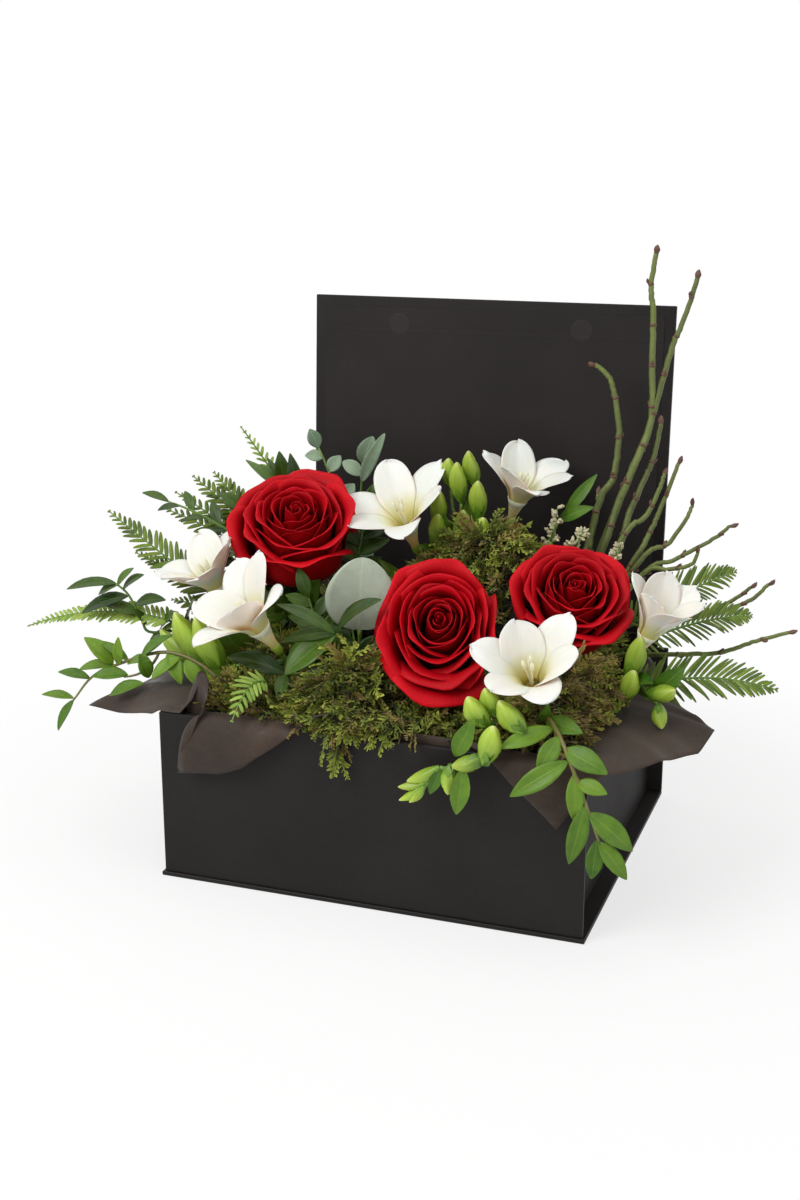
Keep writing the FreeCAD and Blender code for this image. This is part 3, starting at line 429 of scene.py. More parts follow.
def freesia_petal(name):
    """Waxy white lobes with faint veins and a yellow-green throat."""
    finish = Finish(name, 0.42)
    veins = finish.noise(1.0, 4, 0.55, "UV", (34, 2.5, 1))
    patch = finish.noise(120, 3, 0.5)
    colour = finish.shades(finish.along(), (0.0, (206, 186, 84)), (0.16, (228, 214, 152)),
                           (0.36, (246, 237, 226)), (1.0, (251, 242, 236)))
    colour = finish.vary(colour, 0.8, veins, 0.3, 0.93, 0.65, 1.0)
    return finish.done(colour, None, ((patch, 0.12, 0.4), (veins, 0.3, 0.3)), Subsurface_Weight=0.25,
                       Subsurface_Scale=0.004, Sheen_Weight=0.1)


def leafy(name, dark, light, rough, vein, pale):
    """A leaf: midrib and slanted side veins drawn in its own UVs, mottled, each leaf a little different."""
    finish = Finish(name, rough)
    across = finish.math("ABSOLUTE", finish.off(finish.split("UV")["X"], 0.5))
    rib = finish.fade(across, 0.0, 1, 0.045, 0)
    slant = finish.off(finish.times(finish.along(), 46.0), finish.times(across, 40.0))
    side = finish.fade(finish.math("SINE", slant), 0.9, 0, 1.0, 1)
    mottle = finish.noise(160, 5, 0.6)
    mixed = finish.total((mottle, 0.5), (finish.tint(), 0.6))
    lines = finish.total((rib, 0.9), (side, 0.35))
    colour = finish.shades(mixed, (0.25, dark), (0.85, light))
    colour = finish.mix(colour, pale, finish.times(lines, vein))
    gloss = finish.fade(mottle, 0.3, rough - 0.08, 0.75, rough + 0.1)
    return finish.done(colour, gloss, ((mottle, 0.25, 0.3), (lines, 0.5, 0.25)), Subsurface_Weight=0.08,
                       Subsurface_Scale=0.002, Specular_IOR_Level=0.3)


def fleshy(name, base_tone, tip_tone, spot_tone):
    """Buds and stems: colour runs from base to tip with lengthwise streaks."""
    finish = Finish(name, 0.4)
    streak = finish.noise(1.0, 4, 0.6, "UV", (9, 1.2, 1))
    mottle = finish.noise(220, 4, 0.6)
    colour = finish.shades(finish.along(), (0.0, base_tone), (0.75, tip_tone), (1.0, spot_tone))
    colour = finish.vary(colour, 0.7, streak, 0.3, 0.72, 0.7, 1.15)
    colour = finish.vary(colour, 1.0, finish.tint(), 0.0, 0.72, 1.0, 1.15)
    return finish.done(colour, None, ((mottle, 0.2, 0.15), (streak, 0.3, 0.3)), Subsurface_Weight=0.12,
                       Subsurface_Scale=0.003)


def mossy(name, deep, mid, bright):
    """Moss: darker at the foot of each shoot and brighter toward its tip, partly the moss's own fresher tips
    and partly painted shade low in the moss.
    """
    finish = Finish(name, 0.75)
    mottle = finish.noise(130, 6, 0.65)
    # The share along each shoot darkens its foot: painted shade low in the moss, together with the moss's own
    # paler tips
    mixed = finish.total((mottle, 0.25), (finish.tint(), 0.5), (finish.along(), 0.35))
    colour = finish.shades(mixed, (0.2, deep), (0.56, mid), (0.95, bright))
    return finish.done(colour, None, ((mottle, 0.4, 0.4),), Sheen_Weight=0.1)


def bark(name):
    """Green ridged twigs, flecked brown."""
    finish = Finish(name, 0.6)
    long_grain = finish.noise(160, 6, 0.7, stretch=(1, 1, 0.12))
    fleck = finish.noise(420, 5, 0.7)
    mixed = finish.total((long_grain, 0.7), (finish.tint(), 0.3))
    colour = finish.shades(mixed, (0.25, (66, 72, 36)), (0.6, (108, 122, 58)), (0.9, (128, 134, 80)))
    colour = finish.mix(colour, (78, 52, 36), finish.fade(fleck, 0.56, 0, 0.7, 0.8))
    return finish.done(colour, None, ((fleck, 0.3, 0.2), (long_grain, 0.5, 0.4)))


def plain_grain(name, dark, light, scale, rough, distance=0.3, metallic=0.0):
    finish = Finish(name, rough)
    grain = finish.noise(scale, 6, 0.65)
    cloud = finish.noise(scale / 12, 4, 0.6)
    colour = finish.shades(finish.total((grain, 0.6), (cloud, 0.4)), (0.3, dark), (0.72, light))
    return finish.done(colour, None, ((grain, 0.4, distance),), Metallic=metallic)


WRAP = wrap_paper("black_wrap", (30, 27, 26), (39, 36, 35), 0.5)
TRAY = wrap_paper("tray_wrap", (28, 26, 25), (38, 35, 34), 0.58, 0.08)
HINGE = wrap_paper("hinge_paper", (34, 31, 30), (44, 41, 40), 0.55)
PAPER = brown_paper("brown_paper")
ROSE = rose_petal("rose_petal")
ROSE_GREEN = fleshy("rose_green", (44, 74, 26), (62, 98, 38), (84, 112, 52))
WHITE = freesia_petal("freesia_petal")
BUD_GREEN = fleshy("freesia_green", (100, 142, 30), (174, 200, 68), (212, 220, 136))
BRACT = fleshy("freesia_bract", (70, 112, 26), (118, 156, 40), (150, 178, 66))
STEM_GREEN = fleshy("freesia_stem", (70, 108, 36), (98, 136, 48), (120, 150, 60))
STAMEN = fleshy("freesia_stamen", (226, 222, 190), (240, 236, 214), (244, 238, 196))
EUCALYPTUS = leafy("eucalyptus", (164, 180, 158), (216, 228, 210), 0.6, 0.35, (226, 230, 208))
DARK_LEAF = leafy("leaf_dark", (22, 50, 10), (78, 110, 30), 0.36, 0.4, (112, 138, 56))
FRESH_LEAF = leafy("leaf_fresh", (44, 88, 14), (112, 148, 38), 0.4, 0.38, (138, 168, 66))
SPRIG = leafy("eucalyptus_green", (92, 118, 92), (152, 174, 146), 0.55, 0.35, (172, 188, 160))
WOOD = fleshy("branch_wood", (98, 92, 40), (124, 118, 54), (134, 130, 64))
FERN = leafy("fern_green", (52, 82, 22), (116, 142, 50), 0.5, 0.3, (136, 158, 70))
PALE_FERN = leafy("fern_pale", (108, 146, 50), (164, 190, 90), 0.5, 0.3, (168, 196, 108))
MOSS = mossy("moss", (28, 36, 8), (108, 122, 22), (184, 190, 70))
BROWN_MOSS = mossy("moss_brown", (44, 34, 14), (116, 98, 40), (160, 148, 68))
# Painted shade: a near-black bed stands for the shaded depths of the moss under the strands
MOSS_SHADE_BED = mossy("moss_bed_shade", (14, 16, 6), (28, 30, 10), (44, 44, 16))
BARK = bark("twig_bark")
SCALE = plain_grain("twig_bud", (72, 46, 36), (112, 78, 60), 500, 0.55)
CREAM = plain_grain("filler_cream", (178, 172, 130), (226, 220, 190), 600, 0.6)
FOAM = plain_grain("wet_foam", (20, 46, 24), (36, 70, 38), 700, 0.85)
PLASTIC = plain_grain("dish_plastic", (26, 26, 27), (36, 36, 38), 300, 0.3, 0.05)
TAPE = plain_grain("stay_paper", (60, 54, 48), (78, 70, 62), 900, 0.8, 0.1)
STEEL = plain_grain("magnet", (150, 150, 150), (186, 186, 188), 800, 0.3, 0.03, 1.0)

SEAM_DEPTH = 15 * MM
lid_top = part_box("lid_liner")[1].z
magnet_low, magnet_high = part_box("lid_magnets")
disc = (magnet_high.z - magnet_low.z) / 2
LINING = lid_lining("lid_lining", magnet_high.x - disc, (magnet_low.z + magnet_high.z) / 2,
                    lid_top - SEAM_DEPTH)

FINISHES = (
    (WRAP, ("base_board", "spine_board", "front_board", "lid_board")),
    (TRAY, ("tray_floor", "tray_front_wall", "tray_back_wall", "tray_left_wall", "tray_right_wall")),
    (HINGE, ("hinge_fold", "lid_hinge_leaf", "spine_hinge_leaf")), (FOAM, ("foam_front", "foam_rear")),
    (LINING, ("lid_liner",)), (TAPE, ("corner_stays",)), (STEEL, ("lid_magnets",)),
    (PLASTIC, ("liner_dish",)),
)
for finish, boards in FINISHES:
    for board in boards:
        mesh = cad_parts[board].data
        mesh.materials.clear()
        mesh.materials.append(finish)

# The camera stands where the photograph's did
camera_data = bpy.data.cameras.new("camera")
camera_data.lens = 48.05
camera_data.sensor_width = 36.0
camera_data.clip_start = 0.01
camera = put("camera", camera_data)
camera.location = (0.2911, -0.8616, 0.4088)
camera.rotation_euler = look(Vector((-0.324, 0.905, -0.275)))
bpy.context.scene.camera = camera

# Floor, background and light: lamps as name, place, width and power
WHITE_LIGHT = (1.0, 1.0, 1.0, 1.0)
WARM_LIGHT = (1.0, 0.985, 0.96, 1.0)
WARM_STRENGTH = 0.36
FLOOR_GREY = (0.93, 0.93, 0.93, 1.0)
FLOOR_REACH = 4.0
FLOOR_DROP = 0.0002
LAMPS = (("key", (-0.8, -1.2, 1.3), 1.0, 20.0), ("fill", (1.3, -1.2, 0.9), 1.4, 6.0),
         ("top", (0.1, 0.3, 1.9), 1.6, 11.5))
LAMP_AIM = Vector((0, 0, 0.12))


def background_rays(tree):
    """One for the rays that show the background: seen directly, mirrored or through glass."""
    paths = tree.nodes.new("ShaderNodeLightPath")
    total = paths.outputs["Is Camera Ray"]
    for kind in ("Is Glossy Ray", "Is Transmission Ray"):
        either = tree.nodes.new("ShaderNodeMath")
        either.operation = "MAXIMUM"
        tree.links.new(total, either.inputs[0])
        tree.links.new(paths.outputs[kind], either.inputs[1])
        total = either.outputs[0]
    return total


def blend_shaders(tree, share, first, second, output):
    blend = tree.nodes.new("ShaderNodeMixShader")
    for socket, source in zip(blend.inputs, (share, first.outputs[0], second.outputs[0])):
        tree.links.new(source, socket)
    tree.links.new(blend.outputs[0], tree.nodes[output].inputs[0])


def studio():
    world = bpy.data.worlds.new("studio")
    bpy.context.scene.world = world
    world.use_nodes = True
    tree = world.node_tree
    warm = tree.nodes["Background"]
    white = tree.nodes.new("ShaderNodeBackground")
    settle(warm, Color=WARM_LIGHT, Strength=WARM_STRENGTH)
    settle(white, Color=WHITE_LIGHT, Strength=1.0)
    blend_shaders(tree, background_rays(tree), warm, white, "World Output")

    mesh = bpy.data.meshes.new("floor")
    corners = [(x * FLOOR_REACH, y * FLOOR_REACH, 0) for x, y in ((-1, -1), (1, -1), (1, 1), (-1, 1))]
    mesh.from_pydata(corners, [], [(0, 1, 2, 3)])
    floor = put("floor", mesh)
    floor.location.z = -FLOOR_DROP
    finish = Finish("floor", 0.9)
    settle(finish.shader, Base_Color=FLOOR_GREY)
    place = finish.split("Object")
    fade = finish.fade(finish.span(place["X"], place["Y"]), 0.2, 0.72, 0.44, 1, "EASE")
    share = finish.times(fade, background_rays(finish.tree))
    glow = finish.node("ShaderNodeEmission")
    settle(glow, Color=WHITE_LIGHT)
    blend_shaders(finish.tree, share, finish.shader, glow, "Material Output")
    mesh.materials.append(finish.material)

    for name, where, width, power in LAMPS:
        lamp_data = bpy.data.lights.new(name, "AREA")
        lamp_data.size = width
        lamp_data.energy = power
        lamp = put(name, lamp_data)
        lamp.location = where
        lamp.rotation_euler = look(LAMP_AIM - Vector(where))
    bpy.context.scene.view_settings.view_transform = "Standard"


studio()

# Flowers
GOLDEN_TURN = 2.39996
ROSE_HEIGHT = 50.0
ROSE_DEPTH = 27.5
ROSE_PETALS = 36
ROSE_ROWS = 18
ROSE_COLS = 19
FREESIA_LENGTH = 52.0
FREESIA_TUBE = ((0.0, 1.8), (0.08, 2.1), (0.16, 2.7), (0.24, 3.8), (0.31, 5.0), (0.38, 6.6))
LOBE_ROWS = 22
LOBE_COLS = 15
BUD_SHARES = ((0.0, 0.34), (0.1, 0.58), (0.25, 0.84), (0.42, 1.0), (0.58, 0.96), (0.74, 0.77), (0.87, 0.5),
              (0.95, 0.28), (1.0, 0.07))


def rose(form, base, axis, radius, spin, seed, fall, tall):
    """Spiral of petals: tightly rolled at the heart, opening outward, the outer rims rolled back."""
    chance = default_rng(seed)
    side, other = local(axis)
    down = square_to(axis, vec(0, 0, -1))
    turns = np.linspace(0, pi / 2, 6)
    steps = np.linspace(0.5, 5.5, 6) / 6
    rim = np.concatenate([np.zeros(11), np.linspace(0, 1, 7)])
    for k in range(ROSE_PETALS):
        s = k / (ROSE_PETALS - 1)
        angle = spin + k * GOLDEN_TURN + chance.normal(0, 0.16)
        belly = radius * (0.03 + 0.78 * s ** 0.98)
        crest = ROSE_HEIGHT * (0.94 + 0.06 * min(s / 0.3, 1) - 0.3 * s ** 2.2) * (1 + chance.normal(0, 0.02))
        lean = radians(-12 + 27 * s ** 1.3 + chance.normal(0, 3))
        roll = radians(10 + 122 * s ** 1.5 + chance.normal(0, 14))
        lip = 1.0 + 6.4 * s ** 1.7
        spread = radians(140 - 84 * s ** 0.5)
        low = min(0.36 * crest, 0.95 * belly + 1.0)
        phase = chance.uniform(0, ANY_PHASE, 4)
        point = chance.uniform(1.2, 4.6) * s
        grid = np.zeros((ROSE_ROWS, ROSE_COLS, 3))
        for j, u in enumerate(np.arange(ROSE_COLS) * 2 / (ROSE_COLS - 1) - 1):
            way = around(side, other, angle + u * spread)
            upright = np.dot(way, down)
            tilt = lean + fall * max(upright, 0.0) ** 2 * s ** 2
            curl = roll * (0.55 + 0.6 * abs(u) ** 1.5)
            wall = (crest - low) / max(cos(tilt), 0.5) * (1 - 0.42 * abs(u) ** 2.8)
            out = 2.0 + (belly - 2.0) * np.sin(turns)
            up = low * (1 - np.cos(turns))
            lines = np.concatenate([tilt * steps, tilt + curl * steps])
            pace = np.concatenate([np.full(6, wall / 6), np.full(6, lip / 6)])
            out = np.concatenate([out, out[-1] + np.cumsum(np.sin(lines) * pace)])
            up = np.concatenate([up, up[-1] + np.cumsum(np.cos(lines) * pace)])
            wave = 0.04 * sin(2.6 * u + phase[0]) + 0.05 * u
            wave += 0.5 * s * (1 / cos(0.55 * u * spread) - 1) + tall * s * (upright * upright - 0.4)
            ruffle = 0.55 * sin(5 * u + phase[1]) + 0.4 * sin(9 * u + phase[2])
            out = out * (1 + wave * np.linspace(0.2, 1, ROSE_ROWS))
            out = out + rim * (point * exp(-(u / 0.2) ** 2))
            up = up + rim * ruffle * (0.4 + 1.3 * s)
            grid[:, j] = base + np.outer(out, way) + np.outer(up, axis)
        # The tint rises from the heart outward: painted shade darkens the inner petals, with a random spread
        # from petal to petal
        form.grid(grid, np.clip(0.3 + 0.5 * s + chance.normal(0, 0.14), 0, 1))


def calyx(form, base, axis):
    """The green cup under a rose, with five sepals."""
    side, other = local(axis)
    cup = ((0, 2.4), (0.2, 3.2), (0.45, 5.2), (0.8, 5.4), (1.0, 4.2))
    form.turned(base - axis * 11, base + axis * 1.0, cup, 12, 0.6)
    for k in range(5):
        way = around(side, other, FULL_TURN * k / 5)
        start = base - axis * 3.0 + way * 4.0
        leaf(form, start, start + way * 17 - axis * 7, axis, 5.5, 0.2, 0.2, 7, 5)


def leaf(form, base, tip, facing, width, fold=0.25, sag=0.08, rows=11, cols=7, blunt=0.9, tint=None,
         full=0.85, kind=0):
    """A leaf blade with a folded midrib, a sagging spine and a gently wavy edge."""
    along = tip - base
    length = np.linalg.norm(along)
    normal = square_to(unit(along), facing)
    side = np.cross(unit(along), normal)
    phase = rng.uniform(0, ANY_PHASE)
    grid = np.zeros((rows, cols, 3))
    for i, v in enumerate(np.sin(np.linspace(-1, 1, rows) * pi / 2) * 0.5 + 0.5):
        half = width / 2 * max(sin(pi * v ** blunt), 0.0) ** full + 0.25
        line = base + along * v + normal * (sag * length * 4 * v * (1 - v))
        for j in range(cols):
            u = 2 * j / (cols - 1) - 1
            lift = fold * half * abs(u) ** 1.3 + 0.06 * half * sin(7 * v + phase) * u
            grid[i, j] = line + side * (u * half) + normal * lift
    form.grid(grid, rng.uniform(0.1, 0.9) if tint is None else tint, False, kind)


def freesia(form, base, axis, size, spin, seed, opening, slim):
    """A slim tube that opens into six broad rounded lobes in two whorls, with stamens in the throat."""
    chance = default_rng(seed)
    length = FREESIA_LENGTH * size
    side, other = local(axis)
    down = square_to(axis, vec(0, 0, -1))
    rings = [ring(base + axis * (length * v), side, other, r * size, 24) for v, r in FREESIA_TUBE]
    form.grid(np.array(rings), 0.5, True, 0, 0.3)
    share = 1 - (1 - np.linspace(0, 1, LOBE_ROWS)) ** 1.6
    for k in range(6):
        inner = k % 2
        out = around(side, other, spin + pi * k / 3 + chance.normal(0, 0.08))
        along = np.cross(axis, out)
        heavy = max(np.dot(out, down), 0.0)
        reach = (39.0 if inner else 41.0) * size * (1 + chance.normal(0, 0.04))
        start = radians(15)
        middle = radians((34 if inner else 44) * opening + 6 * heavy + chance.normal(0, 3))
        tip = radians((10 if inner else 34) * opening + 8 * heavy + chance.normal(0, 8))
        wide = (13.8 if inner else 12.6) * size * slim
        phase = chance.uniform(0, ANY_PHASE, 3)
        radial = 4.8 * size - 0.5 * inner
        rise = length * 0.30
        sway = chance.normal(0, 0.07)
        grid = np.zeros((LOBE_ROWS, LOBE_COLS, 3))
        for i, v in enumerate(share):
            if i:
                step = (v - share[i - 1]) * reach
                mid = (v + share[i - 1]) / 2
                slope = start + (middle - start) * ease(min(mid / 0.5, 1))
                slope += tip * max((mid - 0.55) / 0.45, 0.0) ** 1.3
                radial += sin(slope) * step
                rise += cos(slope) * step
            if v < 0.56:
                half = wide * (0.32 + 0.68 * ease(v / 0.56))
            else:
                half = wide * max(1 - ((v - 0.56) / 0.44) ** 2.5, 0.0) ** 0.5
            curve = radial * (1 + 0.9 * v)
            for j in range(LOBE_COLS):
                u = 2 * j / (LOBE_COLS - 1) - 1
                bow = u * half / curve
                ripple = 0.9 * sin(3.0 * u + 4 * v + phase[0]) * v * v
                crease = 0.7 * exp(-(u / 0.13) ** 2) * v
                notch = 0.9 * sin(5 * u + phase[1]) * max(v - 0.7, 0) * 3.3
                grid[i, j] = (base + axis * (rise + ripple + notch * 0.6)
                              + out * (radial - curve * (1 - cos(bow)) + crease + notch * 0.5)
                              + along * (curve * sin(bow) + sway * v * 20 * size))
        form.grid(grid)
    for k in range(4):
        pistil = k == 3
        way = around(side, other, spin + 0.4 + FULL_TURN * k / 3) * (0.0 if pistil else 0.14)
        way = unit(axis + way)
        start = base + axis * (0.3 * length)
        end = start + way * (length * (0.42 if pistil else 0.32))
        form.stem(np.linspace(start, end, 6), 0.45, 0.45, 6, 0.5)
        if not pistil:
            anther = ((0, 0.5), (0.2, 1.1), (0.8, 1.0), (1, 0.4))
            form.turned(end - way * 1.0, end + way * 6.0, anther, 7, 0.7, STALK)


def bud(form, base, tip, radius, tint, kind=0, cup=None, sides=24):
    """A closed bud of three petals, each lapping over the next along a slow spiral, perhaps in two bracts."""
    axis = unit(tip - base)
    side, other = local(axis)
    lean = square_to(axis, vec(0.2, -0.5, 0.8)) * 0.1 * np.linalg.norm(tip - base)
    turn = np.arange(sides) * FULL_TURN / sides
    rings = []
    for v, share in BUD_SHARES:
        lap = (turn * 3 / FULL_TURN + 0.6 * v) % 1.0
        middle = base + (tip - base) * v - lean * 4 * v * (1 - v)
        rings.append(ring(middle, side, other, radius * share * (0.8 + 0.32 * lap), sides))
    form.grid(np.array(rings), tint, True, kind)
    if cup is not None:
        for k in range(2):
            out = side * (1 - 2 * k)
            end = base + (tip - base) * (0.62 - 0.16 * k) + out * radius * 0.9 - lean
            leaf(form, base - axis * 1.5, end, -out, radius * 1.7, 0.75, -0.16, 9, 7, 0.8, tint * 0.7, 0.6,
                 cup)


def spray(form, path, leaves, length, width, facing, opening=0.9):
    """Alternate leaves along a stem and one at its tip."""
    for k in range(leaves):
        share = 0.22 + 0.72 * k / max(leaves - 1, 1)
        start, ahead = walk(path, share)
        side = np.cross(ahead, square_to(ahead, facing)) * (1 if k % 2 else -1)
        way = unit(ahead * cos(opening) + side * sin(opening) + vec(0, 0, rng.normal(0, 0.06)))
        grow = 1.0 - 0.35 * abs(2 * share - 1)
        leaf(form, start, start + way * (length * grow), facing + rng.normal(0, 0.12, 3), width * grow)
    end = unit(path[-1] - path[-2])
    leaf(form, path[-1], path[-1] + end * length * 0.8, facing, width * 0.75)


def side_shoot(form, start, control, end, leaves, length, width):
    """A thinner leafy shoot that springs from a stem."""
    path = arc(start, control, end, 16)
    form.stem(path, 1.0, 0.5, 7)
    spray(form, path, leaves, length, width, VIEWER)


def set_leaves(form, leaves, facing, full=0.85, kind=0):
    for base, tip, wide in leaves:
        leaf(form, spot(*base), spot(*tip), facing, wide, full=full, kind=kind)


# Roses: the middle, direction, radius and foot of each, how far its lower petals fall and how tall it is
ROSES = {
    "left": ((-85, 112, 82), (0.2, -0.55, 0.81), 37.0, (-78, 130, -5), -0.05, 0.0),
    "centre": ((27, 52, 49), (0.2, -0.8, 0.56), 35.0, (24, 82, -45), 0.25, 0.2),
    "right": ((86, 112, 54), (0.28, -0.62, 0.73), 32.0, (74, 135, 0), -0.05, 0.0),
}


def build_roses():
    for index, (name, (middle, direction, radius, foot, fall, tall)) in enumerate(ROSES.items()):
        axis = unit(vec(*direction))
        base = spot(*middle) - axis * ROSE_DEPTH
        bloom = Form()
        rose(bloom, base, axis, radius, 0.7 + index, ROSE_SEED + index, fall, tall)
        bloom.make(f"rose_{name}_petals", [ROSE], "rose_petal", [f"rose_{name}_bloom"], gauge=0.35)
        green = Form()
        neck = base - axis * 9.0
        foot = spot(*foot)
        green.tube(bend(neck, (foot + neck) * 0.5 - axis * 6.0, foot, 14), [2.6] * 15, 10, 0.4)
        calyx(green, base, axis)
        green.make(f"rose_{name}_stalk", [ROSE_GREEN], "rose_green", [f"rose_{name}_stem"], gauge=0.2)


VIEWER = vec(0.3, -0.8, 0.5)
UPWARD = vec(0.15, -0.45, 0.88)
# Leaves set one by one, as base, tip and width
BRACTS = {
    "front": (
        ((55, -9, 1), (66, -11, 24), 10), ((61, -13, -3), (58, -15, -29), 10),
        ((49, -12, -5), (43, -14, -20), 6), ((95, 60, 33), (95, 62, 58), 8),
        ((103, 50, 9), (100, 56, 29), 8), ((90, 30, 4), (100, 8, 30), 9),
    ),
    "right": (
        ((140, 84, 13), (158, 80, 34), 12), ((128, 90, 20), (142, 74, 24), 8),
        ((122, 84, 2), (112, 66, 20), 8),
    ),
    "top": (
        ((66, 172, 92), (84, 176, 117), 7), ((62, 172, 88), (85, 166, 99), 8),
        ((12, 150, 66), (34, 138, 72), 6), ((0, 152, 66), (-16, 136, 74), 6),
        ((3, 155, 62), (-11, 150, 100), 8), ((4, 155, 64), (20, 150, 98), 8),
        ((2, 154, 58), (4, 146, 88), 8), ((4, 158, 70), (12, 160, 108), 7),
    ),
    "left": (((-98, 56, 2), (-118, 40, 12), 9), ((-104, 60, 6), (-136, 50, 10), 8)),
    "centre": (((-24, 160, 40), (-4, 150, 62), 8), ((-24, 160, 34), (-46, 148, 60), 8)),
}
MIDDLE_NODE = (-31, 40, 44)
LOW_NODE = (-62, 38, 18)
MIDDLE_LEAVES = (
    (MIDDLE_NODE, (-64, 34, 60), 9), (MIDDLE_NODE, (0, 30, 70), 15), (MIDDLE_NODE, (-56, 25, 22), 19),
    (MIDDLE_NODE, (-42, 20, 10), 10), (MIDDLE_NODE, (-64, 40, 36), 12), (LOW_NODE, (-92, 28, 28), 15),
    (LOW_NODE, (-56, 17, 8), 8),
)
TRAIL = ((90, 40, -25), (97, 16, 17), (109, -3, 17), (120, -14, 2), (128, -17, -15), (135, -19, -31))
TRAIL_LEAVES = (
    ((98, 13, 18), (120, 2, 18), 10), ((104, 4, 18), (79, -10, 9), 9), ((109, -4, 17), (101, -15, 0), 10),
    ((113, -8, 12), (137, -14, 4), 12), ((116, -11, 7), (88, -19, -13), 11),
    ((120, -14, 2), (122, -19, -22), 9), ((122, -15, -2), (138, -18, -5), 8),
    ((127, -17, -13), (120, -20, -45), 10), ((129, -17, -17), (152, -18, -34), 12),
    ((134, -19, -30), (132, -21, -51), 9), ((135, -19, -31), (150, -20, -49), 9),
)
UPRIGHT_LEAVES = (
    ((-113, 160, 97), (-115, 156, 122), 10), ((-101.5, 160, 81.3), (-108, 157, 121), 11),
    ((-113, 160, 97), (-138, 167, 110), 7), ((-107, 160, 88.7), (-132, 168, 98), 9),
    ((-112, 160, 95), (-140, 160, 114), 6), ((-110, 160, 92), (-126, 162, 116), 6),
)
REACHING = ((-86, 42, -14), (-112, 44, 12), (-141, 46, 20), (-174, 44, 9), (-190, 42, 0), (-202, 40, -15))
REACHING_LEAVES = (
    ((-176, 44, 9), (-193, 41, 25), 11), ((-176, 44, 9), (-195, 37, 6), 8),
    ((-191, 42, -1), (-211, 39, 2), 7), ((-202, 40, -14), (-222, 37, -13), 6),
    ((-202, 40, -15), (-211, 35, -34), 6), ((-164, 40, 5), (-184, 33, 4), 10),
    ((-166, 44, 11), (-148, 39, 16), 9), ((-150, 40, 5), (-154, 37, 20), 9),
    ((-151, 35, 3), (-172, 31, -6), 9), ((-166, 45, 12), (-186, 46, 22), 6),
    ((-158, 46, 15), (-138, 48, 30), 8), ((-172, 44, 9), (-171, 43, 27), 6),
    ((-140, 46, 20), (-128, 38, 4), 9), ((-128, 45, 17), (-116, 40, 2), 10),
    ((-132, 45, 18), (-146, 36, 6), 9),
)
SHADE_LEAVES = (
    ((-90, 128, 22), (-112, 84, 30), 20), ((-88, 126, 26), (-92, 92, 44), 18),
    ((-96, 120, 30), (-126, 100, 44), 17), ((-84, 130, 20), (-76, 96, 36), 18),
    ((-92, 124, 14), (-104, 78, 12), 18), ((-98, 110, 6), (-120, 74, 28), 20),
    ((-103, 86, 0), (-122, 66, 40), 21), ((-97, 146, 22), (-103, 134, 54), 22),
    ((-84, 128, 30), (-64, 98, 58), 18), ((-82, 128, 26), (-58, 92, 44), 18),
)
HIGH_SHOOT = (
    (-96, 130, 34), (-136, 100, 24), (-170, 84, 18), (-177, 82, 28), (-184, 80, 42), (-191, 78, 49),
)
HIGH_LEAVES = (
    ((-191, 78, 49), (-224, 75, 43), 9), ((-184, 80, 41), (-213, 73, 29), 12),
    ((-178, 82, 29), (-200, 75, 36), 9), ((-187, 79, 45), (-172, 79, 56), 8),
    ((-180, 81, 36), (-160, 83, 40), 10), ((-190, 78, 48), (-203, 77, 41), 7),
    ((-190, 78, 48), (-180, 81, 59), 6), ((-174, 83, 23), (-180, 77, 34), 6),
    ((-166, 85, 19), (-150, 80, 34), 11), ((-160, 88, 20), (-172, 80, 6), 10),
    ((-150, 93, 22), (-140, 84, 42), 11),
)
SILVER_LEAVES = (
    ((-70, 185, 112), (-62, 183, 130), 12), ((-71, 186, 104), (-84, 186, 112), 9),
    ((-71, 186, 100), (-53, 180, 133), 8),
)

